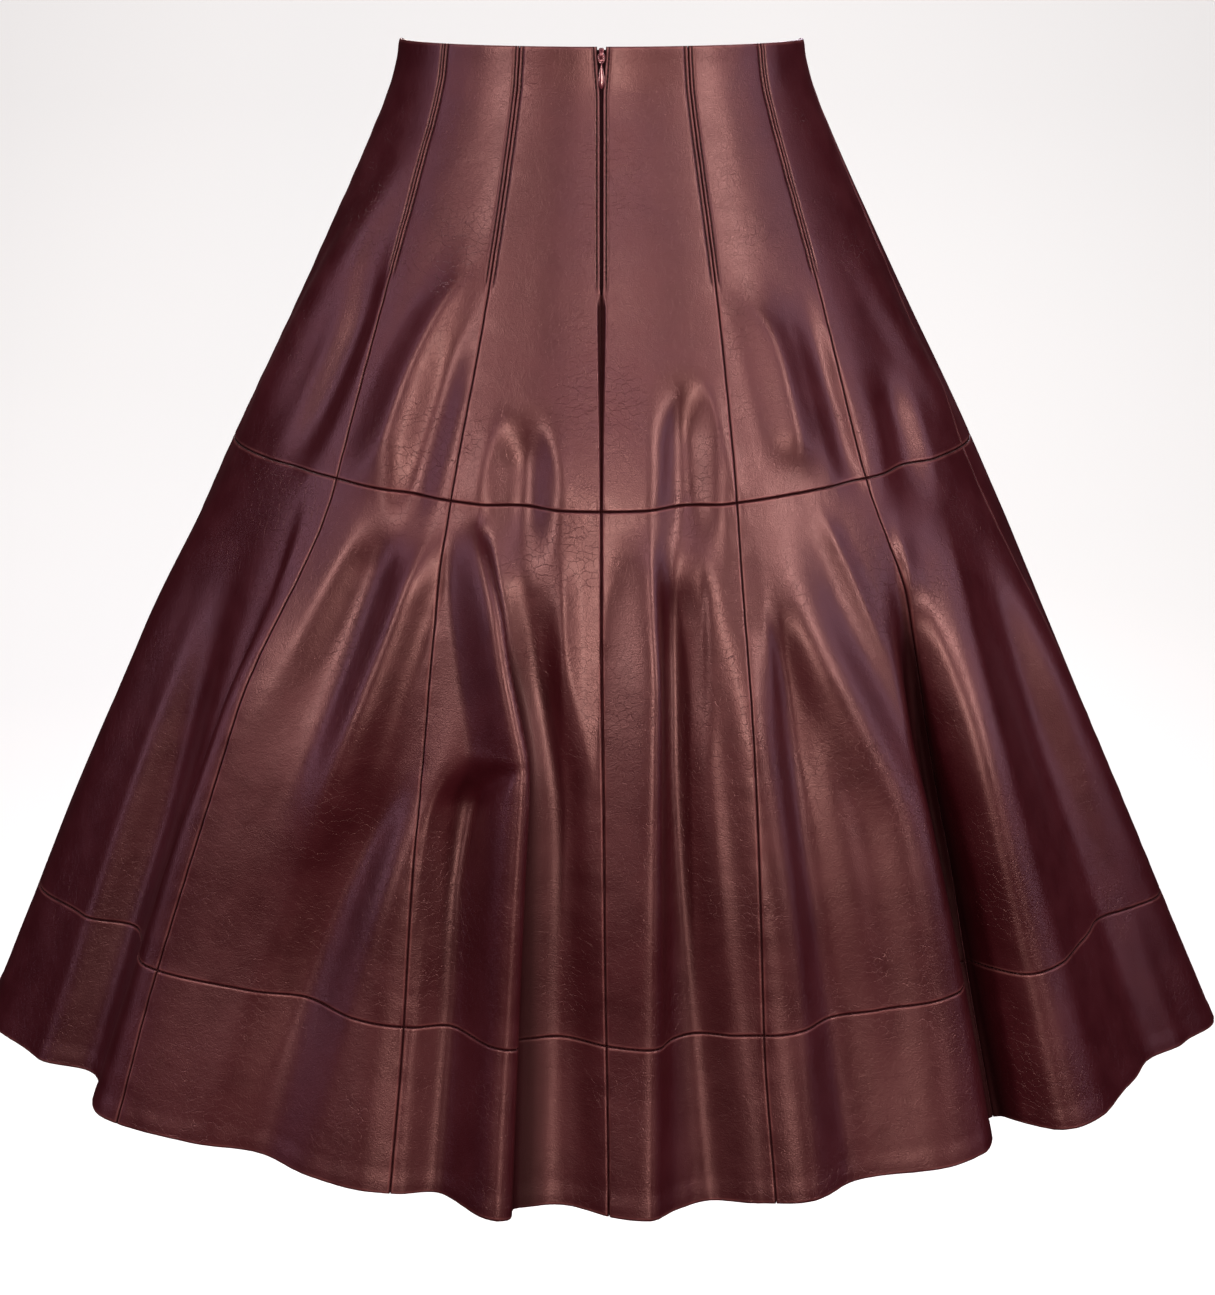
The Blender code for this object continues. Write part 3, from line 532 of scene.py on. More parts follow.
# ------------------------------------------------------------------ finishes
class NodeBook:
    """Short-hand for building one material's nodes."""

    def __init__(self, name: str) -> None:
        """Start a material with its Principled shader."""
        self.material = bpy.data.materials.new(name)
        self.material.use_nodes = True
        self.tree = self.material.node_tree
        self.shader = self.tree.nodes["Principled BSDF"]

    def node(self, kind: str) -> bpy.types.Node:
        """Add a node."""
        return self.tree.nodes.new(kind)

    def link(self, source: Socket, target: Socket) -> None:
        """Join an output to an input."""
        self.tree.links.new(source, target)

    def object_coordinates(self) -> Socket:
        """The piece's own coordinates."""
        return self.node("ShaderNodeTexCoord").outputs["Object"]

    def noise(self, vector: Socket, scale: float, detail: float = 2.0) -> Socket:
        """A noise texture.

        Args:
            vector: where it is read.
            scale: of the noise.
            detail: octaves.

        Returns:
            Its value.
        """
        made = self.node("ShaderNodeTexNoise")
        made.inputs["Scale"].default_value = scale
        made.inputs["Detail"].default_value = detail
        self.link(vector, made.inputs["Vector"])
        return made.outputs["Fac"]

    def ramp(self, value: Socket, low: float, high: float,
             to_low: float = 0.0, to_high: float = 1.0) -> Socket:
        """Map a value from one range to another, clamped, with a soft start and end.

        Args:
            value: what is mapped.
            low: value that gives to_low.
            high: value that gives to_high.
            to_low: result at and below low.
            to_high: result at and above high.

        Returns:
            The mapped value.
        """
        made = self.node("ShaderNodeMapRange")
        made.interpolation_type = "SMOOTHSTEP"
        made.inputs["From Min"].default_value = low
        made.inputs["From Max"].default_value = high
        made.inputs["To Min"].default_value = to_low
        made.inputs["To Max"].default_value = to_high
        self.link(value, made.inputs["Value"])
        return made.outputs["Result"]

    def math(self, operation: str, first: Socket | float, second: Socket | float) -> Socket:
        """A Math node.

        Args:
            operation: its operation.
            first: a socket or a number.
            second: a socket or a number.

        Returns:
            The result.
        """
        made = self.node("ShaderNodeMath")
        made.operation = operation
        for socket, value in zip(made.inputs, (first, second)):
            if isinstance(value, (int, float)):
                socket.default_value = value
            else:
                self.link(value, socket)
        return made.outputs[0]

    def mix(self, factor: Socket | float, first: Socket | tuple, second: Socket | tuple) -> Socket:
        """Mix two colours.

        Args:
            factor: share of the second colour.
            first: a socket or a colour.
            second: a socket or a colour.

        Returns:
            The mixed colour.
        """
        made = self.node("ShaderNodeMix")
        made.data_type = "RGBA"
        for index, value in ((0, factor), (6, first), (7, second)):
            socket = made.inputs[index]
            if isinstance(value, (int, float, tuple)):
                socket.default_value = value
            else:
                self.link(value, socket)
        return made.outputs[2]

    def raise_surface(self, height: Socket, distance: float, strength: float,
                      under: Socket | None = None) -> Socket:
        """A Bump node over another one.

        Args:
            height: what raises the surface.
            distance: height of a value of 1, in metres.
            strength: of the effect.
            under: normal of the bump below it.

        Returns:
            The new normal.
        """
        made = self.node("ShaderNodeBump")
        made.inputs["Distance"].default_value = distance
        made.inputs["Strength"].default_value = strength
        self.link(height, made.inputs["Height"])
        if under is not None:
            self.link(under, made.inputs["Normal"])
        return made.outputs["Normal"]


@dataclass(frozen=True)
class LeatherFinish:
    """Smooth oxblood leather: fine pores, a net of fine creases, edges painted lighter for rub wear and a
    painted highlight, and painted shade in its seams, channels and deepest valleys.
    """

    name: str = "oxblood_leather"
    deep: tuple = (0.031, 0.0022, 0.0046, 1.0)
    warm: tuple = (0.043, 0.0036, 0.0072, 1.0)
    # lighter tone on the rolled edges' crests: partly rub wear, partly a painted highlight
    rubbed_and_highlight_tone: tuple = (0.150, 0.046, 0.046, 1.0)
    # near-black red of the painted shade; the crease net's fine lines take a fifth of it too
    sunk: tuple = (0.011, 0.0010, 0.0018, 1.0)
    roughness: tuple = (0.34, 0.40)
    specular: float = 1.0
    glow: tuple = (1.0, 0.56, 0.56, 1.0)
    coat: float = 0.03
    coat_roughness: float = 0.20
    index: float = 1.5                  # refractive index of the polished surface
    painted_shade_index: float = 1.17            # and where shade is painted, which dims its reflection there
    painted_shade_roughness: float = 0.25        # added there

    def material(self) -> bpy.types.Material:
        """Build the material.

        Returns:
            The leather's outer face.
        """
        book = NodeBook(self.name)
        place = book.object_coordinates()
        cloud = book.noise(place, 7.0, 3.0)
        mottle = book.noise(place, 46.0, 4.0)
        tone = book.math("ADD", book.math("MULTIPLY", cloud, 0.65), book.math("MULTIPLY", mottle, 0.35))
        colour = book.mix(book.ramp(tone, 0.36, 0.66), self.deep, self.warm)

        cells = self.crease_net(book, place, 165.0, 0.026)
        patches = book.ramp(book.noise(place, 16.0, 3.0), 0.44, 0.70, 0.2, 1.0)
        net = book.math("MULTIPLY", cells, patches)
        colour = book.mix(book.math("MULTIPLY", net, 0.2), colour, self.sunk)
        # painted lighter along every edge's rolled crest: partly rub wear, partly a painted highlight
        edge = book.node("ShaderNodeAttribute")
        edge.attribute_name = "rub"
        wear_and_highlight = book.math("MULTIPLY", edge.outputs["Fac"], book.ramp(mottle, 0.35, 0.6, 0.35, 1.0))
        colour = book.mix(wear_and_highlight, colour, self.rubbed_and_highlight_tone)
        # painted shade: seams, stitch channels, the zip groove and the deepest valleys are mixed towards
        # near-black
        low = book.node("ShaderNodeAttribute")
        low.attribute_name = "sunk"
        colour = book.mix(low.outputs["Fac"], colour, self.sunk)
        book.link(colour, book.shader.inputs["Base Color"])

        gloss = book.ramp(book.math("ADD", mottle, book.math("MULTIPLY", cloud, 0.5)),
                          0.55, 0.95, self.roughness[0], self.roughness[1])
        # rougher where shade is painted
        rougher_in_painted_shade = book.math("MULTIPLY", low.outputs["Fac"], self.painted_shade_roughness)
        book.link(book.math("ADD", gloss, rougher_in_painted_shade), book.shader.inputs["Roughness"])
        pores = book.node("ShaderNodeTexVoronoi")
        pores.inputs["Scale"].default_value = 1150.0
        book.link(place, pores.inputs["Vector"])
        grain = book.math("ADD", pores.outputs["Distance"],
                          book.math("MULTIPLY", book.noise(place, 480.0, 3.0), 0.8))
        surface = book.raise_surface(grain, 0.00012, 0.55)
        surface = book.raise_surface(book.noise(place, 90.0, 3.0), 0.0009, 0.22, surface)
        inverted = book.math("SUBTRACT", 1.0, net)
        surface = book.raise_surface(inverted, 0.00022, 0.50, surface)
        book.link(surface, book.shader.inputs["Normal"])
        # and reflects less where shade is painted, through a lower refractive index
        dull = book.math("MULTIPLY", low.outputs["Fac"], self.painted_shade_index - self.index)
        book.link(book.math("ADD", dull, self.index), book.shader.inputs["IOR"])
        book.shader.inputs["Specular IOR Level"].default_value = self.specular
        book.shader.inputs["Specular Tint"].default_value = self.glow
        book.shader.inputs["Coat Weight"].default_value = self.coat
        book.shader.inputs["Coat Roughness"].default_value = self.coat_roughness
        return book.material

    def crease_net(self, book: NodeBook, place: Socket, scale: float, width: float) -> Socket:
        """Lines between the cells of a warped Voronoi pattern, like dried creases.

        Args:
            book: the material's nodes.
            place: coordinates.
            scale: cells in a metre.
            width: of the lines, as a share of a cell.

        Returns:
            A socket that is 1 on the lines.
        """
        warp = book.node("ShaderNodeTexNoise")
        warp.inputs["Scale"].default_value = 60.0
        warp.inputs["Detail"].default_value = 3.0
        book.link(place, warp.inputs["Vector"])
        shift = book.node("ShaderNodeVectorMath")
        shift.operation = "MULTIPLY_ADD"
        shift.inputs[1].default_value = (0.012, 0.012, 0.012)
        book.link(warp.outputs["Color"], shift.inputs[0])
        book.link(place, shift.inputs[2])
        cells = book.node("ShaderNodeTexVoronoi")
        cells.feature = "DISTANCE_TO_EDGE"
        cells.inputs["Scale"].default_value = scale
        book.link(shift.outputs[0], cells.inputs["Vector"])
        return book.ramp(cells.outputs["Distance"], width, 0.0)


@dataclass(frozen=True)
class BackingFinish:
    """The inside of the leather: a soft napped suede, a little darker."""

    name: str = "suede_backing"
    dark: tuple = (0.050, 0.014, 0.017, 1.0)
    light: tuple = (0.085, 0.026, 0.030, 1.0)

    def material(self) -> bpy.types.Material:
        """Build the material.

        Returns:
            The finish, ready for a slot.
        """
        book = NodeBook(self.name)
        place = book.object_coordinates()
        nap = book.noise(place, 350.0, 4.0)
        colour = book.mix(book.ramp(nap, 0.35, 0.65), self.dark, self.light)
        book.link(colour, book.shader.inputs["Base Color"])
        book.shader.inputs["Roughness"].default_value = 0.92
        book.shader.inputs["Specular IOR Level"].default_value = 0.2
        book.shader.inputs["Sheen Weight"].default_value = 0.2
        book.shader.inputs["Sheen Roughness"].default_value = 0.5
        book.shader.inputs["Sheen Tint"].default_value = (0.55, 0.22, 0.24, 1.0)
        book.link(book.raise_surface(nap, 0.0003, 0.6), book.shader.inputs["Normal"])
        return book.material


@dataclass(frozen=True)
class ThreadFinish:
    """Twisted thread, with its ply drawn across it."""

    name: str
    colour: tuple
    pitch: float = 2600.0

    def material(self) -> bpy.types.Material:
        """Build the material.

        Returns:
            The finish, ready for a slot.
        """
        book = NodeBook(self.name)
        place = book.object_coordinates()
        ply = book.node("ShaderNodeTexWave")
        ply.bands_direction = "DIAGONAL"
        ply.inputs["Scale"].default_value = self.pitch / 6.0
        ply.inputs["Distortion"].default_value = 1.0
        book.link(place, ply.inputs["Vector"])
        dark = tuple(0.55 * c for c in self.colour[:3]) + (1.0,)
        book.link(book.mix(ply.outputs["Fac"], dark, self.colour), book.shader.inputs["Base Color"])
        book.shader.inputs["Roughness"].default_value = 0.65
        book.shader.inputs["Specular IOR Level"].default_value = 0.2
        book.link(book.raise_surface(ply.outputs["Fac"], 0.0001, 0.6), book.shader.inputs["Normal"])
        return book.material


@dataclass(frozen=True)
class TapeFinish:
    """Woven zip tape: a fine rib along its length."""

    name: str = "woven_tape"
    dark: tuple = (0.007, 0.0012, 0.0022, 1.0)
    light: tuple = (0.020, 0.0038, 0.0062, 1.0)

    def material(self) -> bpy.types.Material:
        """Build the material.

        Returns:
            The finish, ready for a slot.
        """
        book = NodeBook(self.name)
        place = book.object_coordinates()
        ribs = book.node("ShaderNodeTexWave")
        ribs.bands_direction = "X"
        ribs.inputs["Scale"].default_value = 420.0
        book.link(place, ribs.inputs["Vector"])
        picks = book.node("ShaderNodeTexWave")
        picks.bands_direction = "Z"
        picks.inputs["Scale"].default_value = 560.0
        book.link(place, picks.inputs["Vector"])
        weave = book.math("MULTIPLY", ribs.outputs["Fac"], picks.outputs["Fac"])
        book.link(book.mix(weave, self.dark, self.light), book.shader.inputs["Base Color"])
        book.shader.inputs["Roughness"].default_value = 0.85
        book.shader.inputs["Specular IOR Level"].default_value = 0.1
        book.link(book.raise_surface(weave, 0.0002, 0.7), book.shader.inputs["Normal"])
        return book.material


@dataclass(frozen=True)
class LacquerFinish:
    """Metal dipped in a glossy lacquer dyed to match the leather."""

    name: str
    colour: tuple
    roughness: float = 0.16
    metallic: float = 0.35
    coat: float = 1.0
    specular: float = 0.5

    def material(self) -> bpy.types.Material:
        """Build the material.

        Returns:
            The finish, ready for a slot.
        """
        book = NodeBook(self.name)
        place = book.object_coordinates()
        haze = book.noise(place, 900.0, 3.0)
        lighter = tuple(min(1.0, 1.25 * c) for c in self.colour[:3]) + (1.0,)
        book.link(book.mix(haze, self.colour, lighter), book.shader.inputs["Base Color"])
        book.link(book.ramp(haze, 0.3, 0.7, self.roughness, self.roughness + 0.12),
                  book.shader.inputs["Roughness"])
        book.shader.inputs["Metallic"].default_value = self.metallic
        book.shader.inputs["Specular IOR Level"].default_value = self.specular
        book.shader.inputs["Coat Weight"].default_value = self.coat
        book.shader.inputs["Coat Roughness"].default_value = 0.06
        book.link(book.raise_surface(haze, 0.00005, 0.3), book.shader.inputs["Normal"])
        return book.material


@dataclass(frozen=True)
class Finishes:
    """Every finish on the skirt, built once."""

    leather: bpy.types.Material
    backing: bpy.types.Material
    stitch: bpy.types.Material
    seam_thread: bpy.types.Material
    tape: bpy.types.Material
    coil: bpy.types.Material
    lacquer: bpy.types.Material

    @classmethod
    def make(cls) -> "Finishes":
        """Build all the materials.

        Returns:
            The finishes by name.
        """
        return cls(
            leather=LeatherFinish().material(),
            backing=BackingFinish().material(),
            stitch=ThreadFinish("dark_topstitch", (0.009, 0.0016, 0.0026, 1.0)).material(),
            seam_thread=ThreadFinish("seam_thread", (0.070, 0.016, 0.020, 1.0)).material(),
            tape=TapeFinish().material(),
            coil=LacquerFinish("nylon_coil", (0.016, 0.002, 0.004, 1.0), 0.5, 0.0, 0.0, 0.12).material(),
            lacquer=LacquerFinish("pull_lacquer", (0.135, 0.032, 0.045, 1.0)).material(),
        )


# ------------------------------------------------------------------ mesh helpers
def quad_indices(rows: int, columns: int, offset: int = 0) -> np.ndarray:
    """Quads of a grid, which face outward when its columns run left to right.

    Args:
        rows: of the grid.
        columns: of the grid.
        offset: number of its first vertex.

    Returns:
        Four vertex numbers for each quad.
    """
    i, j = np.meshgrid(np.arange(rows - 1), np.arange(columns - 1), indexing="ij")
    corner = offset + i * columns + j
    return np.stack((corner, corner + columns, corner + columns + 1, corner + 1), -1).reshape(-1, 4)


def mesh_from_arrays(name: str, points: np.ndarray, quads: np.ndarray) -> bpy.types.Mesh:
    """A mesh from arrays of points and of quads.

    Args:
        name: of the mesh.
        points: one row of x, y, z for each vertex.
        quads: four vertex numbers for each face.

    Returns:
        The mesh, shaded smooth.
    """
    mesh = bpy.data.meshes.new(name)
    mesh.vertices.add(len(points))
    mesh.vertices.foreach_set("co", points.astype(np.float32).ravel())
    mesh.loops.add(quads.size)
    mesh.loops.foreach_set("vertex_index", quads.astype(np.int32).ravel())
    mesh.polygons.add(len(quads))
    mesh.polygons.foreach_set("loop_start", np.arange(0, quads.size, 4, dtype=np.int32))
    mesh.update(calc_edges=True)
    mesh.validate()
    mesh.shade_smooth()
    return mesh


def wall_mesh(name: str, outer: np.ndarray, inner: np.ndarray) -> bpy.types.Mesh:
    """A closed wall between two grids; its inner face is in the second material slot, its outer face and
    rims in the first.

    Args:
        name: of the mesh.
        outer: grid of points of the outer face.
        inner: grid of points of the inner face.

    Returns:
        The mesh.
    """
    rows, columns = outer.shape[:2]
    count = rows * columns
    front = quad_indices(rows, columns)
    back = quad_indices(rows, columns, count)[:, ::-1]
    number = np.arange(count).reshape(rows, columns)
    rim = np.concatenate((number[0, :-1], number[:-1, -1], number[-1, :0:-1], number[:0:-1, 0]))
    following = np.roll(rim, -1)
    rims = np.stack((rim, following, following + count, rim + count), axis=-1)
    points = np.concatenate((outer.reshape(-1, 3), inner.reshape(-1, 3)))
    mesh = mesh_from_arrays(name, points, np.concatenate((front, back, rims)))
    slots = np.concatenate((np.zeros(len(front)), np.ones(len(back)), np.zeros(len(rims))))
    mesh.polygons.foreach_set("material_index", slots.astype(np.int32))
    return mesh


def ring_mesh(name: str, outer: np.ndarray, inner: np.ndarray) -> bpy.types.Mesh:
    """A closed wall between two grids whose last column meets the first.

    Args:
        name: of the mesh.
        outer: grid of points of the outer face.
        inner: grid of points of the inner face.

    Returns:
        The mesh.
    """
    count = outer.shape[0] * outer.shape[1]
    number = np.arange(count).reshape(outer.shape[:2])
    after = np.roll(number, -1, axis=1)
    front = np.stack((number[:-1], number[1:], after[1:], after[:-1]), axis=-1).reshape(-1, 4)
    top = np.stack((number[0], after[0], after[0] + count, number[0] + count), axis=-1)
    bottom = np.stack((after[-1], number[-1], number[-1] + count, after[-1] + count), axis=-1)
    points = np.concatenate((outer.reshape(-1, 3), inner.reshape(-1, 3)))
    return mesh_from_arrays(name, points, np.concatenate((front, front[:, ::-1] + count, top, bottom)))


def add_piece(name: str, mesh: bpy.types.Mesh, *materials: bpy.types.Material) -> bpy.types.Object:
    """Link a mesh as an object at the origin, with a material in each of its slots.

    Args:
        name: of the object.
        mesh: its mesh, whose faces already name their slots.
        materials: one for each slot.

    Returns:
        The object.
    """
    slots = np.zeros(len(mesh.polygons), dtype=np.int32)
    mesh.polygons.foreach_get("material_index", slots)
    mesh.materials.clear()
    for material in materials:
        mesh.materials.append(material)
    mesh.polygons.foreach_set("material_index", np.minimum(slots, len(materials) - 1))
    piece = bpy.data.objects.new(name, mesh)
    bpy.context.scene.collection.objects.link(piece)
    return piece


# ------------------------------------------------------------------ the gores
class Tier(Enum):
    """The three tiers of the skirt: the drops they run between, and their rows and columns."""

    YOKE = ("yoke", 0.0, 0.280, 88, 46)
    SKIRT = ("skirt", 0.280, 0.612, 108, 66)
    HEM = ("hem", 0.612, 0.716, 42, 66)

    def __init__(self, label: str, top: float, bottom: float, rows: int, columns: int) -> None:
        """Name the tier's numbers.

        Args:
            label: first word of its nodes.
            top: drop of its upper edge, in metres.
            bottom: drop of its lower edge, in metres.
            rows: of a gore's mesh.
            columns: of a gore's mesh.
        """
        self.label = label
        self.top = top
        self.bottom = bottom
        self.rows = rows
        self.columns = columns


EDGE_STEPS = np.array([0.0, 0.25, 0.55, 0.9, 1.3, 1.8, 2.3, 2.8, 3.4, 4.6]) * MM


@dataclass(frozen=True)
class SeamMake:
    """How the seams are made: all sizes in millimetres unless named otherwise."""

    gap: float = 0.3
    roll_reach: float = 1.5
    roll_depth: float = 0.85
    stitch_line: float = 2.4
    channel_width: float = 1.3
    channel_depth: float = 0.75
    stitched_to: float = 0.146          # drop, metres
    turning: float = 12.0
    hem_turn: float = 12.0
    waist_turn: float = 8.5
    waist_raise: float = 0.30
    hem_raise: float = 0.40
    round_over: float = 1.0             # over which a turned edge comes up to its height
    deepest: float = 0.95               # that a seam may cut into the leather
    rub_and_highlight_line: float = 1.25              # from the edge, where the leather is painted lighter: rub wear and a painted highlight on the rolled crest
    rub_and_highlight_width: float = 0.55
    groove_levels: tuple = (0.149, 0.157, 0.175, 0.200, 0.230, 0.280)
    groove_widths: tuple = (0.0, 2.0, 1.85, 1.5, 1.15, 0.6)
    groove_depths: tuple = (0.0, 2.6, 2.6, 2.2, 1.7, 0.8)

    def roll(self, away: np.ndarray) -> np.ndarray:
        """Depth that the leather's rolled edge falls back.

        Args:
            away: distances from the edge, in millimetres.

        Returns:
            Depths in millimetres.
        """
        inside = np.clip(1.0 - away / self.roll_reach, 0.0, 1.0)
        return self.roll_depth * (1.0 - np.sqrt(1.0 - inside**2))

    def channel(self, away: np.ndarray, drop: np.ndarray) -> np.ndarray:
        """Depth of the channel that the topstitching pulls in.

        Args:
            away: distances from the edge, in millimetres.
            drop: down from the waist, in metres.

        Returns:
            Depths in millimetres.
        """
        kept = ease((self.stitched_to + 0.002 - drop) / 0.003)
        raised = 0.22 * bump(away - 0.5 * self.stitch_line, 0.8)
        return (self.channel_depth * bump(away - self.stitch_line, 0.5 * self.channel_width)
                - raised) * kept

    def shade(self, away: np.ndarray, drop: np.ndarray) -> np.ndarray:
        """How much shade is painted at the seam itself and in the stitching's channel.

        Args:
            away: distances from the edge, in millimetres.
            drop: down from the waist, in metres.

        Returns:
            Shares from 0 to 1.
        """
        kept = ease((self.stitched_to + 0.002 - drop) / 0.003)
        channel = 0.95 * bump(away - self.stitch_line, 0.40 * self.channel_width) * kept
        return np.maximum(channel, 0.95 * bump(away, 0.5))

    def groove(self, away: np.ndarray, drop: np.ndarray) -> np.ndarray:
        """Depth of the open groove in the centre back seam below the zip.

        Args:
            away: distances from the edge, in millimetres.
            drop: down from the waist, in metres.

        Returns:
            Depths in millimetres.
        """
        half = np.interp(drop, self.groove_levels, self.groove_widths)
        depth = np.interp(drop, self.groove_levels, self.groove_depths)
        return depth * ease(1.0 - (away - 0.45 * half) / (half + 0.4))


@dataclass
class GoreSheets:
    """The leather of the gores of one tier."""

    form: SkirtForm
    tier: Tier
    finishes: Finishes
    make: SeamMake = SeamMake()
    thickness: float = 1.2 * MM

    def build(self) -> list[bpy.types.Object]:
        """Build and dress every gore.

        Returns:
            The gores' pieces.
        """
        pieces = []
        for index, gore in enumerate(GORES):
            node = f"{self.tier.label}_{gore}"
            first, last = SEAMS[index], SEAMS[(index + 1) % len(SEAMS)]
            mesh = self.wall(f"{node}_leather", first, last)
            piece = add_piece(f"{node}_leather", mesh, self.finishes.leather, self.finishes.backing)
            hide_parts(node)
            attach(piece, "skirt")
            width, length, area = self.cut(first, last)
            pieces.append(piece)
            LOG.info("%s: cut %.0f x %.0f mm, %.0f cm2", piece.name, width / MM, length / MM,
                     1e4 * area)
        return pieces

    def rows(self) -> tuple[np.ndarray, np.ndarray, np.ndarray]:
        """The rows of a gore's mesh.

        Returns:
            Their drops, and their distances from the tier's top and from its bottom.
        """
        half = 0.5 * self.make.gap * MM
        top = self.tier.top + (half if self.tier.top > 0.0 else 0.0)
        bottom = self.tier.bottom - half
        inner = np.linspace(top + EDGE_STEPS[-1], bottom - EDGE_STEPS[-1],
                            self.tier.rows - 2 * (len(EDGE_STEPS) - 1))
        drops = np.concatenate((top + EDGE_STEPS[:-1], inner, bottom - EDGE_STEPS[-2::-1]))
        return drops, drops - top, bottom - drops

    def edge(self, seam: Seam, drops: np.ndarray, side: float) -> np.ndarray:
        """The gore's own edge beside a seam.

        Args:
            seam: the seam.
            drops: of the rows.
            side: 1 for the gore after the seam, -1 for the one before it.

        Returns:
            Degrees round at each row.
        """
        middle = seam_degrees(seam, drops)
        gap = np.full_like(drops, self.make.gap * MM)
        if seam.name == "center_back":
            gap = np.interp(drops, OPENING_LEVELS, OPENING_WIDTHS)
        return middle + side * 0.5 * gap * self.form.turn_per_metre(middle, drops)

    def grid(self, first: Seam, last: Seam) -> dict[str, np.ndarray]:
        """Degrees, drops and distances from the four edges over the gore's grid.

        Args:
            first: the seam at the gore's start.
            last: the seam at its end.

        Returns:
            Arrays by name.
        """
        drops, from_top, from_bottom = self.rows()
        left = self.edge(first, drops, 1.0)
        right = self.edge(last, drops, -1.0)
        right = np.where(right < left, right + 360.0, right)
        at_left = self.form.turn_per_metre(left, drops)[:, None]
        at_right = self.form.turn_per_metre(right, drops)[:, None]
        start = left[:, None] + at_left * EDGE_STEPS[None, :]
        end = right[:, None] - at_right * EDGE_STEPS[None, ::-1]
        share = np.linspace(0.0, 1.0, self.tier.columns - 2 * (len(EDGE_STEPS) - 1))[None, :]
        inner = start[:, -1:] + (end[:, :1] - start[:, -1:]) * share
        degrees = np.concatenate((start[:, :-1], inner, end[:, 1:]), axis=1)
        shape = degrees.shape
        drop = np.broadcast_to(drops[:, None], shape)
        points = self.form.points(degrees, drop)
        steps = np.linalg.norm(np.diff(points, axis=1), axis=-1)
        from_left = np.concatenate((np.zeros((shape[0], 1)), np.cumsum(steps, axis=1)), axis=1)
        return {
            "degrees": degrees, "drop": drop, "points": points,
            "left": from_left, "right": from_left[:, -1:] - from_left,
            "top": np.broadcast_to(from_top[:, None], shape),
            "bottom": np.broadcast_to(from_bottom[:, None], shape),
        }

    def wall(self, name: str, first: Seam, last: Seam) -> bpy.types.Mesh:
        """The closed wall of one gore, with its seams, channels, creases and turned edges.

        Args:
            name: of the mesh.
            first: the seam at the gore's start.
            last: the seam at its end.

        Returns:
            The mesh, with the attributes that the leather's finish reads.
        """
        grid = self.grid(first, last)
        degrees, drop = grid["degrees"], grid["drop"]
        normal = self.form.normals(degrees, drop)
        make = self.make
        body = self.form.undulation(degrees, drop) / MM
        skin = np.zeros_like(body)
        # painted shade: first in the deepest valleys' bottoms, then along the seams, channels and zip groove
        # below
        sunk = self.form.painted_valley_shade(degrees, drop)
        for seam, side in ((first, "left"), (last, "right")):
            away = grid[side] / MM
            along = drop / MM
            phase = 0.017 * (hash_number(seam.name) % 97)
            pucker = np.sin(along / 2.9 + 9.0 * phase) + 0.8 * np.sin(along / 4.7 + 23.0 * phase)
            body += 0.13 * pucker * np.exp(-away / 5.0)
            skin -= make.roll(away)
            skin -= make.channel(away, drop)
            # painted shade at the seam and in its stitch channel
            sunk = np.maximum(sunk, make.shade(away, drop))
            if seam.name == "center_back":
                depth = make.groove(away, drop)
                body -= depth
                # painted shade in the open groove below the zip
                sunk = np.maximum(sunk, 0.9 * ease(depth / 2.0))
        for side in ("top", "bottom"):
            away = grid[side] / MM
            if self.tier is Tier.YOKE and side == "top":
                body += make.waist_raise * ease((make.waist_turn - away) / make.round_over)
                skin -= 0.7 * make.roll(away)
            elif self.tier is Tier.HEM and side == "bottom":
                body += make.hem_raise * ease((make.hem_turn - away) / make.round_over)
                body += 0.16 * np.sin(degrees * 5.3 + 1.7 * np.sin(degrees * 1.9)) * bump(away, 14.0)
                skin -= 0.7 * make.roll(away)
            else:
                # painted shade along the seams that run round
                sunk = np.maximum(sunk, 0.95 * bump(away, 0.5))
                level = 1.0 if side == "top" else -1.0
                pucker = np.sin(degrees * 11.0 + 2.0 * np.sin(degrees * 2.3) + 0.4 * level)
                body += 0.16 * pucker * np.exp(-away / 4.5)
                skin -= make.roll(away)
        skin = np.maximum(skin, -make.deepest)
        outer = grid["points"] + ((body + skin) * MM)[..., None] * normal
        inner = grid["points"] + (body * MM - self.thickness)[..., None] * normal
        mesh = wall_mesh(name, outer, inner)
        nearest = np.minimum.reduce([grid[side] for side in ("left", "right", "top", "bottom")]) / MM
        # a band along the rolled crest of every edge, painted lighter for rub wear and a painted highlight
        rub = 0.75 * bump(nearest - make.rub_and_highlight_line, make.rub_and_highlight_width)
        for word, share in (("rub", rub), ("sunk", sunk)):
            attribute = mesh.attributes.new(word, "FLOAT", "POINT")
            values = np.concatenate((share.ravel(), share.ravel())).astype(np.float32)
            attribute.data.foreach_set("value", values)
        return mesh

    def cut(self, first: Seam, last: Seam) -> tuple[float, float, float]:
        """The gore's flat cut without its turnings.

        Args:
            first: the seam at the gore's start.
            last: the seam at its end.

        Returns:
            Greatest width and length in metres, and area in square metres.
        """
        grid = self.grid(first, last)
        points = grid["points"]
        widths = grid["left"][:, -1]
        down = np.linalg.norm(np.diff(points, axis=0), axis=-1).sum(axis=0)
        across = np.cross(points[1:, :-1] - points[:-1, :-1], points[:-1, 1:] - points[:-1, :-1])
        area = float(np.linalg.norm(across, axis=-1).sum())
        width, length = float(widths.max()), float(down.max())
        return width, length, min(area, width * length)


def hash_number(word: str) -> int:
    """A fixed number for a word.

    Args:
        word: any word.

    Returns:
        A whole number under 100003.
    """
    total = 7
    for letter in word:
        total = (total * 31 + ord(letter)) % 100003
    return total


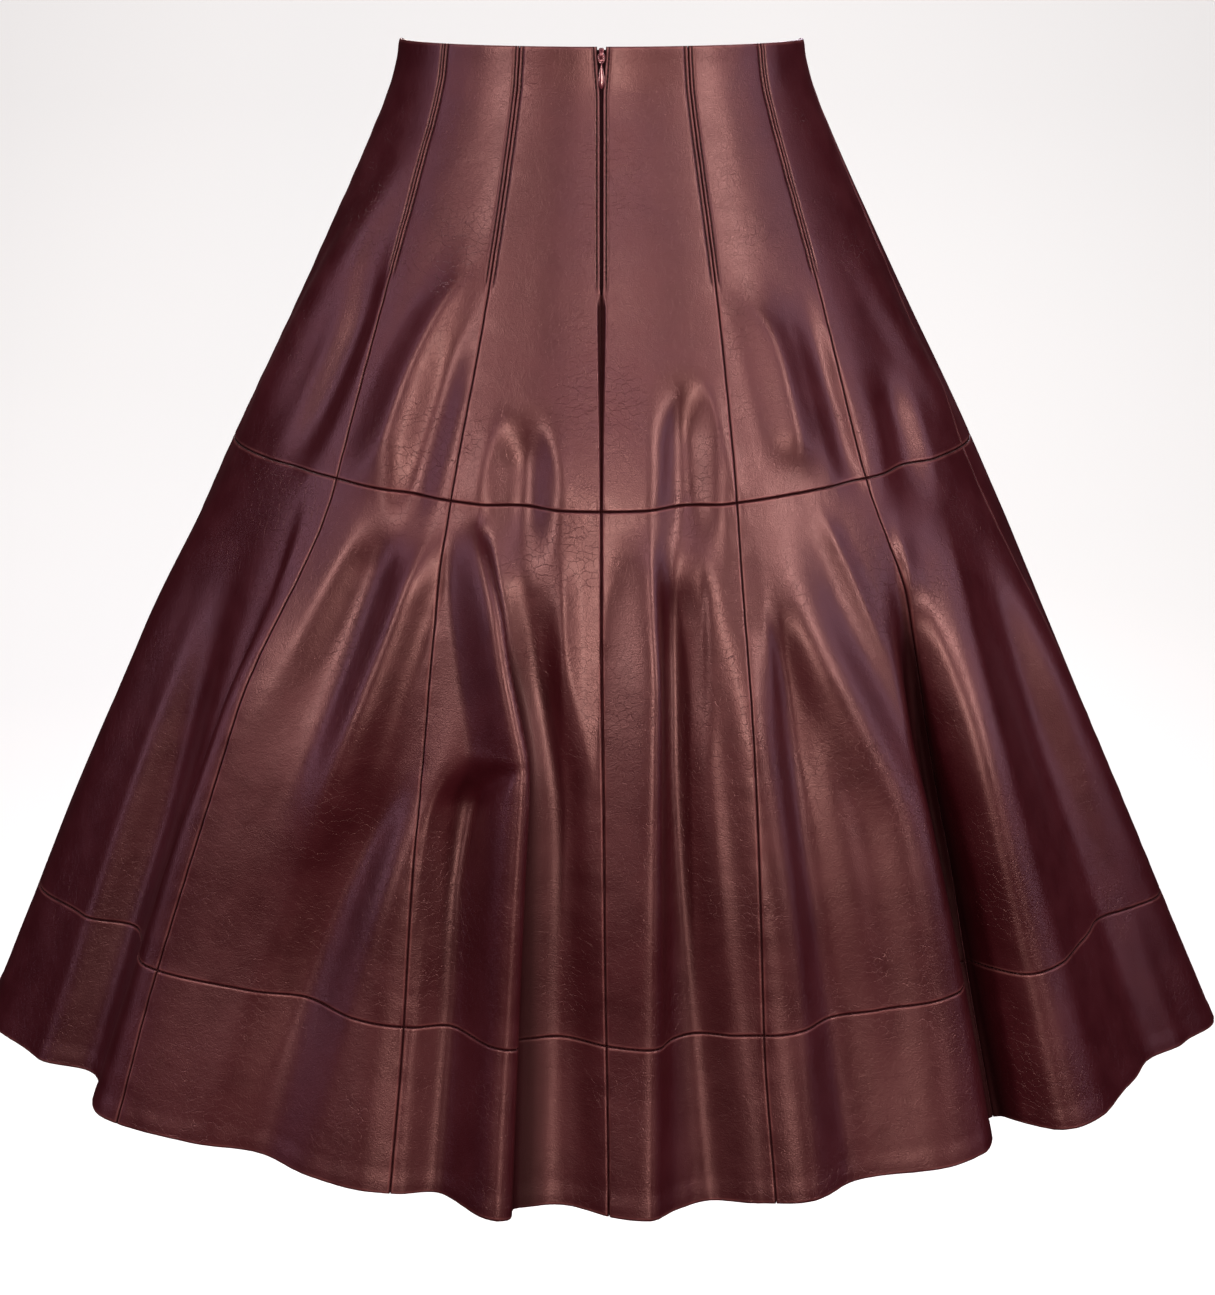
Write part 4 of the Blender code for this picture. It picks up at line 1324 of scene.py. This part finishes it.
@dataclass
class SeamTurnings:
    """The leather turned back inside each seam, pressed open, which closes it from behind."""

    form: SkirtForm
    finishes: Finishes
    make: SeamMake = SeamMake()
    behind: float = 1.75 * MM
    behind_zip: float = 4.4 * MM
    thickness: float = 0.7 * MM
    clear: float = 1.0 * MM             # of the ends of its tier
    below_zip: float = 0.150            # drop where the centre back's turnings start
    rows: int = 54
    columns: int = 15
    columns_round: int = 900

    def strip(self, degrees: np.ndarray, drop: np.ndarray, behind: float) -> tuple[np.ndarray, np.ndarray]:
        """A strip that lies behind the skirt's surface.

        Args:
            degrees: grid of places round.
            drop: grid of places down.
            behind: how far behind the surface, in metres.

        Returns:
            Its front grid and its back grid.
        """
        points = self.form.points(degrees, drop)
        normal = self.form.normals(degrees, drop)
        settle = self.form.undulation(degrees, drop)[..., None]
        return points + (settle - behind) * normal, points + (settle - behind - self.thickness) * normal

    def down_seams(self) -> bpy.types.Object:
        """Strips behind the seams that run down.

        Returns:
            One piece.
        """
        parts = []
        for seam in SEAMS:
            for tier in Tier:
                at_zip = seam.name == "center_back" and tier is Tier.YOKE
                start = self.below_zip if at_zip else tier.top + self.clear
                drops = np.linspace(start, tier.bottom - self.clear, self.rows)
                middle = seam_degrees(seam, drops)
                reach = self.make.turning * MM * self.form.turn_per_metre(middle, drops)
                share = np.linspace(-1.0, 1.0, self.columns)
                degrees = middle[:, None] + reach[:, None] * share[None, :]
                drop = np.broadcast_to(drops[:, None], degrees.shape)
                behind = self.behind_zip if at_zip else self.behind
                parts.append(wall_mesh("turning", *self.strip(degrees, drop, behind)))
        return self.joined("seam_turnings_down", parts)

    def round_seams(self) -> bpy.types.Object:
        """Strips behind the two seams that run round, above and below the skirt tier.

        Returns:
            One piece.
        """
        parts = []
        around = np.linspace(0.0, 360.0, self.columns_round, endpoint=False)
        behind = self.behind + self.thickness + 0.25 * MM
        for level in (Tier.SKIRT.top, Tier.SKIRT.bottom):
            drops = level + np.linspace(-1.0, 1.0, 5) * 0.8 * self.make.turning * MM
            degrees = np.broadcast_to(around[None, :], (drops.size, around.size))
            drop = np.broadcast_to(drops[:, None], degrees.shape)
            parts.append(ring_mesh("turning", *self.strip(degrees, drop, behind)))
        return self.joined("seam_turnings_round", parts)

    def joined(self, name: str, parts: list[bpy.types.Mesh]) -> bpy.types.Object:
        """One piece from several meshes.

        Args:
            name: of the piece.
            parts: the meshes, which are used up.

        Returns:
            The piece, riding on the skirt.
        """
        combined = bmesh.new()
        for part in parts:
            combined.from_mesh(part)
            bpy.data.meshes.remove(part)
        mesh = bpy.data.meshes.new(name)
        combined.to_mesh(mesh)
        combined.free()
        mesh.shade_smooth()
        piece = add_piece(name, mesh, self.finishes.backing)
        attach(piece, "skirt")
        return piece

    def build(self) -> list[bpy.types.Object]:
        """Build both sets of strips."""
        return [self.down_seams(), self.round_seams()]


# ------------------------------------------------------------------ repeated pieces
@dataclass
class RowOfPieces:
    """Copies of one small shape set along given places by a Geometry Nodes tree."""

    name: str
    shape: bpy.types.Mesh
    material: bpy.types.Material
    size: float
    jitter: float = 0.06
    seed: int = 5

    def tree(self) -> bpy.types.NodeTree:
        """The tree: the shape on every point, turned to the point's own directions.

        Returns:
            The node group.
        """
        tree = bpy.data.node_groups.new(f"{self.name}_rows", "GeometryNodeTree")
        face = tree.interface
        face.new_socket("Places", in_out="INPUT", socket_type="NodeSocketGeometry")
        face.new_socket("Shape", in_out="INPUT", socket_type="NodeSocketObject")
        face.new_socket("Size", in_out="INPUT", socket_type="NodeSocketFloat")
        face.new_socket("Jitter", in_out="INPUT", socket_type="NodeSocketFloat")
        face.new_socket("Seed", in_out="INPUT", socket_type="NodeSocketInt")
        face.new_socket("Row", in_out="OUTPUT", socket_type="NodeSocketGeometry")
        given = tree.nodes.new("NodeGroupInput")
        result = tree.nodes.new("NodeGroupOutput")
        info = tree.nodes.new("GeometryNodeObjectInfo")
        tree.links.new(given.outputs["Shape"], info.inputs["Object"])
        along = self.direction(tree, "along")
        outward = self.direction(tree, "outward")
        first = tree.nodes.new("FunctionNodeAlignRotationToVector")
        first.axis = "X"
        tree.links.new(along, first.inputs["Vector"])
        second = tree.nodes.new("FunctionNodeAlignRotationToVector")
        second.axis = "Z"
        second.pivot_axis = "X"
        tree.links.new(first.outputs["Rotation"], second.inputs["Rotation"])
        tree.links.new(outward, second.inputs["Vector"])
        vary = tree.nodes.new("FunctionNodeRandomValue")
        vary.data_type = "FLOAT"
        tree.links.new(given.outputs["Seed"], vary.inputs["Seed"])
        low = self.maths(tree, "SUBTRACT", 1.0, given.outputs["Jitter"])
        high = self.maths(tree, "ADD", 1.0, given.outputs["Jitter"])
        tree.links.new(low, vary.inputs[2])
        tree.links.new(high, vary.inputs[3])
        scale = self.maths(tree, "MULTIPLY", vary.outputs[1], given.outputs["Size"])
        placed = tree.nodes.new("GeometryNodeInstanceOnPoints")
        tree.links.new(given.outputs["Places"], placed.inputs["Points"])
        tree.links.new(info.outputs["Geometry"], placed.inputs["Instance"])
        tree.links.new(second.outputs["Rotation"], placed.inputs["Rotation"])
        tree.links.new(scale, placed.inputs["Scale"])
        real = tree.nodes.new("GeometryNodeRealizeInstances")
        tree.links.new(placed.outputs["Instances"], real.inputs["Geometry"])
        dressed = tree.nodes.new("GeometryNodeSetMaterial")
        dressed.inputs["Material"].default_value = self.material
        tree.links.new(real.outputs["Geometry"], dressed.inputs["Geometry"])
        tree.links.new(dressed.outputs["Geometry"], result.inputs["Row"])
        return tree

    def direction(self, tree: bpy.types.NodeTree, attribute: str) -> Socket:
        """A direction stored on every place.

        Args:
            tree: the tree it is read in.
            attribute: its name.

        Returns:
            The direction.
        """
        node = tree.nodes.new("GeometryNodeInputNamedAttribute")
        node.data_type = "FLOAT_VECTOR"
        node.inputs["Name"].default_value = attribute
        return node.outputs["Attribute"]

    def maths(self, tree: bpy.types.NodeTree, operation: str,
              first: Socket | float, second: Socket | float) -> Socket:
        """A Math node.

        Args:
            tree: the tree it goes in.
            operation: its operation.
            first: a socket or a number.
            second: a socket or a number.

        Returns:
            The result.
        """
        node = tree.nodes.new("ShaderNodeMath")
        node.operation = operation
        for socket, value in zip(node.inputs, (first, second)):
            if isinstance(value, float):
                socket.default_value = value
            else:
                tree.links.new(value, socket)
        return node.outputs[0]

    def build(self, places: np.ndarray, along: np.ndarray, outward: np.ndarray) -> bpy.types.Object:
        """Set the copies.

        Args:
            places: a row of x, y, z for each copy.
            along: the direction each copy's X axis takes.
            outward: the direction its Z axis leans to.

        Returns:
            One plain mesh piece with every copy in it.
        """
        points = bpy.data.meshes.new(f"{self.name}_places")
        points.vertices.add(len(places))
        points.vertices.foreach_set("co", places.astype(np.float32).ravel())
        for word, values in (("along", along), ("outward", outward)):
            attribute = points.attributes.new(word, "FLOAT_VECTOR", "POINT")
            attribute.data.foreach_set("vector", values.astype(np.float32).ravel())
        host = bpy.data.objects.new(f"{self.name}_host", points)
        model = bpy.data.objects.new(f"{self.name}_model", self.shape)
        for item in (host, model):
            bpy.context.scene.collection.objects.link(item)
        modifier = host.modifiers.new("row", "NODES")
        modifier.node_group = self.tree()
        wanted = {"Shape": model, "Size": self.size, "Jitter": self.jitter, "Seed": self.seed}
        for item in modifier.node_group.interface.items_tree:
            if item.item_type == "SOCKET" and item.in_out == "INPUT" and item.name in wanted:
                modifier[item.identifier] = wanted[item.name]
        graph = bpy.context.evaluated_depsgraph_get()
        mesh = bpy.data.meshes.new_from_object(host.evaluated_get(graph))
        host.modifiers.remove(modifier)
        for item in (host, model):
            bpy.data.objects.remove(item)
        for word in ("along", "outward"):
            if word in mesh.attributes:
                mesh.attributes.remove(mesh.attributes[word])
        mesh.shade_smooth()
        return add_piece(self.name, mesh, self.material)


def stitch_shape(name: str, sink: float) -> bpy.types.Mesh:
    """One stitch of unit length along X: a fat thread whose ends dive into the leather.

    Args:
        name: of the mesh.
        sink: how far the ends dive, as a share of its length.

    Returns:
        The closed mesh.
    """
    stations = np.linspace(-1.0, 1.0, 7)
    ring = np.linspace(0.0, 2.0 * math.pi, 7)[:-1]
    made = bmesh.new()
    loops = []
    for station in stations[1:-1]:
        thick = 0.105 * (1.0 - 0.55 * abs(station) ** 3)
        lift = -sink * abs(station) ** 2.5
        loops.append([made.verts.new((0.5 * station, 1.15 * thick * math.cos(a), lift + thick * math.sin(a)))
                      for a in ring])
    for near, far in zip(loops, loops[1:]):
        for i in range(len(near)):
            k = (i + 1) % len(near)
            made.faces.new((near[i], far[i], far[k], near[k]))
    for loop, x in ((loops[0], -0.5), (loops[-1], 0.5)):
        tip = made.verts.new((x, 0.0, -sink))
        for i in range(len(loop)):
            k = (i + 1) % len(loop)
            made.faces.new((loop[i], loop[k], tip) if x < 0 else (loop[k], loop[i], tip))
    bmesh.ops.recalc_face_normals(made, faces=made.faces[:])
    mesh = bpy.data.meshes.new(name)
    made.to_mesh(mesh)
    made.free()
    return mesh


@dataclass
class Topstitching:
    """Twin rows of dark topstitching beside each seam of the upper yoke, and their end bars."""

    form: SkirtForm
    finishes: Finishes
    make: SeamMake = SeamMake()
    pitch: float = 3.6 * MM
    length: float = 2.9 * MM

    def lines(self) -> tuple[np.ndarray, np.ndarray, np.ndarray]:
        """Places and directions of every stitch.

        Returns:
            Places, directions along and directions outward.
        """
        degrees, drops, turned = [], [], []
        start = 0.0022
        count = int((self.make.stitched_to - start) / self.pitch)
        down = start + self.pitch * (np.arange(count) + 0.5)
        for seam in SEAMS:
            for side in (-1.0, 1.0):
                wide = np.full_like(down, self.make.gap * MM)
                end_wide = self.make.gap * MM
                if seam.name == "center_back":
                    wide = np.interp(down, OPENING_LEVELS, OPENING_WIDTHS)
                    end_wide = 0.0015
                middle = seam_degrees(seam, down)
                per_metre = self.form.turn_per_metre(middle, down)
                away = (0.5 * wide + self.make.stitch_line * MM) * side
                degrees.append(middle + away * per_metre)
                drops.append(down)
                turned.append(np.zeros_like(down))
                bar = np.full(2, self.make.stitched_to) + np.array([-0.35, 0.35]) * MM
                middle = seam_degrees(seam, bar)
                away = (0.5 * end_wide + (self.make.stitch_line - 0.9) * MM) * side
                degrees.append(middle + away * self.form.turn_per_metre(middle, bar))
                drops.append(bar)
                turned.append(np.ones_like(bar))
        return self.directed(*(np.concatenate(item) for item in (degrees, drops, turned)))

    def directed(self, degrees: np.ndarray, drops: np.ndarray,
                 turned: np.ndarray) -> tuple[np.ndarray, np.ndarray, np.ndarray]:
        """Stitches set on the leather.

        Args:
            degrees: of each stitch.
            drops: of each stitch.
            turned: 1 for a stitch that runs across, 0 for one that runs down.

        Returns:
            Places, directions along and directions outward.
        """
        down, across = self.form.directions(degrees, drops)
        along = np.where(turned[:, None] > 0.5, across, down)
        outward = self.form.normals(degrees, drops)
        lift = self.form.undulation(degrees, drops) + (0.30 - self.make.channel_depth) * MM
        places = self.form.points(degrees, drops) + lift[:, None] * outward
        return places, along, outward

    def build(self) -> bpy.types.Object:
        """Build the stitches.

        Returns:
            One piece, riding on the skirt.
        """
        row = RowOfPieces("topstitching", stitch_shape("stitch", 0.16), self.finishes.stitch, self.length)
        piece = row.build(*self.lines())
        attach(piece, "skirt")
        return piece


@dataclass
class HemStitches:
    """Small stitches that show in the seam between the skirt tier and the hem band."""

    form: SkirtForm
    finishes: Finishes
    pitch: float = 3.1 * MM
    length: float = 1.9 * MM
    depth: float = 0.42 * MM
    slant: float = 0.35             # run round for a run of 1 down

    def build(self) -> bpy.types.Object:
        """Build the stitches.

        Returns:
            One piece, riding on the skirt.
        """
        level = Tier.HEM.top
        fine = np.linspace(0.0, 360.0, 7201)
        points = self.form.points(fine, level)
        run = np.concatenate(([0.0], np.cumsum(np.linalg.norm(np.diff(points, axis=0), axis=-1))))
        count = int(run[-1] / self.pitch)
        degrees = np.interp((np.arange(count) + 0.5) * run[-1] / count, run, fine)
        drops = np.full_like(degrees, level)
        outward = self.form.normals(degrees, drops)
        down, across = self.form.directions(degrees, drops)
        slanted = down + self.slant * across
        lift = self.form.undulation(degrees, drops) - self.depth
        places = self.form.points(degrees, drops) + lift[:, None] * outward
        row = RowOfPieces("hem_seam_stitches", stitch_shape("hem_stitch", 0.22), self.finishes.seam_thread,
                          self.length, 0.12, 9)
        piece = row.build(places, slanted, outward)
        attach(piece, "skirt")
        return piece


# ------------------------------------------------------------------ the zip
@dataclass
class CenterBackZip:
    """Tape, coil, slider and pull tab in the centre back seam. Sizes in millimetres."""

    form: SkirtForm
    finishes: Finishes
    length: float = 150.0
    tape_width: float = 22.0
    tape_behind: float = 1.5
    coil_pitch: float = 1.25
    coil_loop: float = 1.45
    coil_behind: float = 1.12
    coil_apart: float = 0.22
    hinge_below: float = 4.6
    hinge_off: float = 1.9
    lean: float = 3.0
    ring_width: float = 5.8
    ring_length: float = 6.9
    ring_wire: float = 0.9
    drop_width: float = 4.7
    drop_length: float = 16.8
    drop_thickness: float = 1.5
    ring_turns: int = 56
    ring_sides: int = 14
    ring_power: float = 0.78            # below 1 squares the ring's corners
    ring_taper: float = 0.14            # share that its lower end is drawn in by

    def hinge(self) -> Matrix:
        """The pull's hinge.

        Returns:
            Its frame: origin on the axis, -Y off the leather, Z up along it.
        """
        drop = self.hinge_below * MM
        point = Vector(self.form.points(0.0, drop))
        normal = Vector(self.form.normals(0.0, drop))
        axis = Vector((1.0, 0.0, 0.0))
        up = axis.cross(-normal).normalized()
        turned = Matrix((axis, -normal, up)).transposed().to_4x4()
        return Matrix.Translation(point + self.hinge_off * MM * normal) @ turned

    def tape(self) -> bpy.types.Object:
        """The two woven tapes, each with a bead at the edge that meets its fellow.

        Returns:
            The piece.
        """
        drops = np.linspace(0.002, self.length * MM + 0.014, 90)
        share = np.concatenate((np.linspace(-1.0, -0.12, 14), np.linspace(-0.10, 0.10, 9),
                                np.linspace(0.12, 1.0, 14)))
        reach = 0.5 * self.tape_width * MM * self.form.turn_per_metre(np.zeros_like(drops), drops)
        degrees = reach[:, None] * share[None, :]
        drop = np.broadcast_to(drops[:, None], degrees.shape)
        away = np.abs(share)[None, :] * 0.5 * self.tape_width
        bead = -0.35 * bump(away, 0.28) + 0.12 * bump(away - 0.8, 0.35)
        behind = self.tape_behind + 3.4 * ease((drops - 0.136) / 0.020)[:, None]
        points = self.form.points(degrees, drop)
        normal = self.form.normals(degrees, drop)
        front = points + ((bead - behind) * MM)[..., None] * normal
        back = points - ((behind + 0.6) * MM)[..., None] * normal
        mesh = wall_mesh("zip_tape_weave", front, back)
        piece = add_piece("zip_tape_weave", mesh, self.finishes.tape, self.finishes.tape)
        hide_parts("zip_tape")
        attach(piece, "skirt")
        return piece

    def coil(self) -> bpy.types.Object:
        """The closed coil: small loops from both tapes that lock in turn.

        Returns:
            The piece.
        """
        pitch = self.coil_pitch * MM
        drops = np.arange(0.0118, self.length * MM - 0.001, 0.5 * pitch)
        side = np.where(np.arange(drops.size) % 2 == 0, 1.0, -1.0)
        degrees = side * self.coil_apart * MM * self.form.turn_per_metre(np.zeros_like(drops), drops)
        outward = self.form.normals(degrees, drops)
        places = self.form.points(degrees, drops) - self.coil_behind * MM * outward
        across = np.zeros_like(places)
        across[:, 0] = side
        across[:, 2] = 0.25
        row = RowOfPieces("zip_coil_loops", stitch_shape("coil_loop", 0.1), self.finishes.coil,
                          self.coil_loop * MM, 0.02, 3)
        piece = row.build(places, across, outward)
        fatten_copies(piece.data, side.size)
        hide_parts("zip_chain")
        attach(piece, "skirt")
        return piece

    def pull(self) -> bpy.types.Object:
        """The pull tab: a loop of wire over the bridge's bar, a collar and a slim drop.

        Returns:
            The piece, riding on the pull.
        """
        hang = self.hinge() @ Matrix.Rotation(math.radians(self.lean), 4, "X")
        made = bmesh.new()
        half_width = 0.5 * (self.ring_width - self.ring_wire)
        half_length = 0.5 * (self.ring_length - self.ring_wire)
        self.wire_loop(made, half_width, half_length)
        drop_top = self.ring_length - self.ring_wire
        profile = [(0.0, 0.55), (0.35, 0.62), (0.9, 0.66), (1.15, 0.95), (1.45, 0.95), (1.7, 0.62)]
        self.turned(made, profile, -drop_top + 0.85, 1.0)
        shares = np.linspace(0.0, 1.0, 26)
        drop = [(share * self.drop_length, self.drop_radius(share)) for share in shares]
        self.turned(made, drop, -drop_top - 0.35, self.drop_thickness / self.drop_width)
        bmesh.ops.recalc_face_normals(made, faces=made.faces[:])
        mesh = bpy.data.meshes.new("zip_pull_drop")
        made.to_mesh(mesh)
        made.free()
        mesh.transform(hang @ Matrix.Scale(MM, 4))
        mesh.shade_smooth()
        piece = add_piece("zip_pull_drop", mesh, self.finishes.lacquer)
        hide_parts("zip_pull")
        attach(piece, "pull")
        return piece

    def drop_radius(self, share: float) -> float:
        """Half width of the drop: slim at the top, full below.

        Args:
            share: how far down the drop, 0 to 1.

        Returns:
            Half its width, in millimetres.
        """
        swell = max(0.0, math.sin(math.pi * min(1.0, share) ** 1.55)) ** 0.55
        taper = 0.75 + 0.25 * share
        return max(0.02, 0.5 * self.drop_width * swell * taper)

    def wire_loop(self, made: bmesh.types.BMesh, half_width: float, half_length: float) -> None:
        """Add a closed loop of round wire, straight-sided and drawn in to the collar.

        Args:
            made: the mesh it is added to.
            half_width: of the loop's middle line.
            half_length: of the loop's middle line.
        """
        turns, sides = self.ring_turns, self.ring_sides
        radius = 0.5 * self.ring_wire
        rings = []
        for i in range(turns):
            angle = 2.0 * math.pi * i / turns
            sine, cosine = math.sin(angle), math.cos(angle)
            wide = half_width * (1.0 - self.ring_taper * (1.0 - cosine))
            x = wide * math.copysign(abs(sine) ** self.ring_power, sine)
            z = half_length * math.copysign(abs(cosine) ** self.ring_power, cosine) - half_length
            rings.append(Vector((x, 0.0, z)))
        loops = []
        for i, middle in enumerate(rings):
            heading = (rings[(i + 1) % turns] - rings[i - 1]).normalized()
            side = Vector((0.0, 1.0, 0.0)).cross(heading).normalized()
            loops.append([made.verts.new(middle + radius * (math.cos(a) * side
                                                            + math.sin(a) * Vector((0.0, 1.0, 0.0))))
                          for a in np.linspace(0.0, 2.0 * math.pi, sides, endpoint=False)])
        for near, far in zip(loops, loops[1:] + loops[:1]):
            for i in range(sides):
                k = (i + 1) % sides
                made.faces.new((near[i], near[k], far[k], far[i]))

    def turned(self, made: bmesh.types.BMesh, profile: list[tuple[float, float]], top: float,
               flatness: float, sides: int = 28) -> None:
        """Add a closed turned shape.

        Args:
            made: the mesh it is added to.
            profile: pairs of how far down and how wide.
            top: height it hangs from.
            flatness: its thickness as a share of its width.
            sides: round it.
        """
        loops = []
        for down, radius in profile:
            loops.append([made.verts.new((radius * math.cos(a), flatness * radius * math.sin(a), top - down))
                          for a in np.linspace(0.0, 2.0 * math.pi, sides, endpoint=False)])
        for near, far in zip(loops, loops[1:]):
            for i in range(sides):
                k = (i + 1) % sides
                made.faces.new((near[i], near[k], far[k], far[i]))
        made.faces.new(loops[0])
        made.faces.new(loops[-1][::-1])

    def build(self) -> list[bpy.types.Object]:
        """Build the zip's pieces and lacquer the slider.

        Returns:
            The tape, the coil and the pull.
        """
        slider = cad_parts["zip_slider"]
        slider.data.materials.clear()
        slider.data.materials.append(self.finishes.lacquer)
        return [self.tape(), self.coil(), self.pull()]


def fatten_copies(mesh: bpy.types.Mesh, count: int) -> None:
    """Fatten the copies of a coil's loop about their own places.

    Args:
        mesh: all the copies.
        count: how many there are.
    """
    total = len(mesh.vertices)
    points = np.empty(total * 3)
    mesh.vertices.foreach_get("co", points)
    points = points.reshape(count, total // count, 3)
    middle = points.mean(axis=1, keepdims=True)
    points = middle + (points - middle) * np.array([1.0, 1.5, 1.9])
    mesh.vertices.foreach_set("co", points.ravel())
    mesh.update()


# ------------------------------------------------------------------ studio
@dataclass
class Studio:
    """Pale floor and backdrop, soft lights and the camera."""

    floor: float = -1.55
    eye: tuple = (0.004, -2.0, 0.12)
    tilt: float = 15.69
    lens: float = 78.0
    sensor: float = 36.0

    def backdrop(self) -> bpy.types.Object:
        """A plain pale sheet: a floor that curves up behind.

        Returns:
            Nothing: the sheet is made and marked as stage, but mark_backdrop gives back None.
        """
        run = [(-6.0, 0.0), (2.2, 0.0)]
        for i in range(1, 13):
            angle = 0.5 * math.pi * i / 12
            run.append((2.2 + 1.4 * math.sin(angle), 1.4 * (1.0 - math.cos(angle))))
        run.append((3.6, 6.0))
        made = bmesh.new()
        sides = [[made.verts.new((x, y, self.floor + z)) for y, z in run] for x in (-6.0, 6.0)]
        for i in range(len(run) - 1):
            made.faces.new((sides[0][i], sides[1][i], sides[1][i + 1], sides[0][i + 1]))
        mesh = bpy.data.meshes.new("backdrop")
        made.to_mesh(mesh)
        made.free()
        mesh.shade_smooth()
        book = NodeBook("pale_paper")
        book.shader.inputs["Base Color"].default_value = (0.88, 0.88, 0.88, 1.0)
        book.shader.inputs["Roughness"].default_value = 0.9
        book.shader.inputs["Specular IOR Level"].default_value = 0.1
        sheet = add_piece("backdrop", mesh, book.material)
        sheet.visible_glossy = False
        sheet.visible_diffuse = False
        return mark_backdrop(sheet)

    def light(self, name: str, place: tuple, aim: tuple, size: tuple, power: float, colour: tuple) -> None:
        """Add an area light.

        Args:
            name: of the light.
            place: where it stands.
            aim: the point it faces.
            size: width and height.
            power: in watts.
            colour: of the light.
        """
        data = bpy.data.lights.new(name, "AREA")
        data.shape = "RECTANGLE"
        data.size, data.size_y = size
        data.energy = power
        data.color = colour
        lamp = bpy.data.objects.new(name, data)
        lamp.location = place
        lamp.visible_camera = False
        lamp.rotation_euler = (Vector(aim) - Vector(place)).to_track_quat("-Z", "Y").to_euler()
        bpy.context.scene.collection.objects.link(lamp)

    def build(self) -> None:
        """Set up everything round the skirt."""
        self.backdrop()
        aim = (0.0, 0.0, -0.36)
        self.light("front_strip", (0.14, -2.35, 0.24), aim, (0.10, 0.8), 21.0, (1.0, 0.82, 0.70))
        self.light("high_front", (0.20, -1.75, 1.20), (0.0, -0.1, -0.25), (1.5, 0.4), 8.0, (1.0, 0.80, 0.95))
        self.light("key_left", (-1.40, -1.60, 0.56), aim, (0.20, 1.1), 18.5, (1.0, 0.82, 0.74))
        self.light("key_right", (1.50, -1.45, 0.54), aim, (0.22, 1.2), 22.5, (1.0, 0.83, 0.74))
        self.light("side_left", (-1.9, -0.45, 0.25), aim, (0.4, 1.4), 4.6, (0.86, 0.70, 0.97))
        self.light("side_right", (1.9, -0.45, 0.25), aim, (0.4, 1.4), 5.0, (0.84, 0.74, 1.0))
        self.light("front_side_left", (-0.45, 2.3, 0.55), aim, (0.25, 1.3), 18.0, (1.0, 0.84, 0.78))
        self.light("front_side_right", (0.55, 2.25, 0.75), aim, (0.25, 1.3), 18.0, (0.92, 0.84, 1.0))
        self.light("backdrop_wash", (0.0, 1.2, 2.6), (0.0, 3.0, -1.0), (4.0, 1.0), 200.0, (1.0, 1.0, 1.0))
        world = bpy.data.worlds.new("studio")
        world.use_nodes = True
        world.node_tree.nodes["Background"].inputs["Color"].default_value = (1.0, 1.0, 1.0, 1.0)
        world.node_tree.nodes["Background"].inputs["Strength"].default_value = 0.006
        bpy.context.scene.world = world
        bpy.context.scene.view_settings.view_transform = "Standard"
        data = bpy.data.cameras.new("camera")
        data.lens = self.lens
        data.sensor_width = self.sensor
        camera = bpy.data.objects.new("camera", data)
        camera.location = self.eye
        camera.rotation_euler = (math.radians(90.0 - self.tilt), 0.0, 0.0)
        bpy.context.scene.collection.objects.link(camera)
        bpy.context.scene.camera = camera


def main() -> None:
    """Build the skirt's looks in order."""
    logging.basicConfig(level=logging.INFO, format="%(name)s: %(message)s")
    Studio().build()
    form = SkirtForm()
    finishes = Finishes.make()
    for tier in Tier:
        made = GoreSheets(form, tier, finishes).build()
        LOG.info("%s tier: %d gores", tier.label, len(made))
    for piece in SeamTurnings(form, finishes).build():
        LOG.info("%s: %d faces", piece.name, len(piece.data.polygons))
    for piece in (Topstitching(form, finishes).build(), HemStitches(form, finishes).build()):
        LOG.info("%s: %d faces", piece.name, len(piece.data.polygons))
    for piece in CenterBackZip(form, finishes).build():
        LOG.info("%s: %d faces", piece.name, len(piece.data.polygons))


if __name__ == "__main__":
    main()
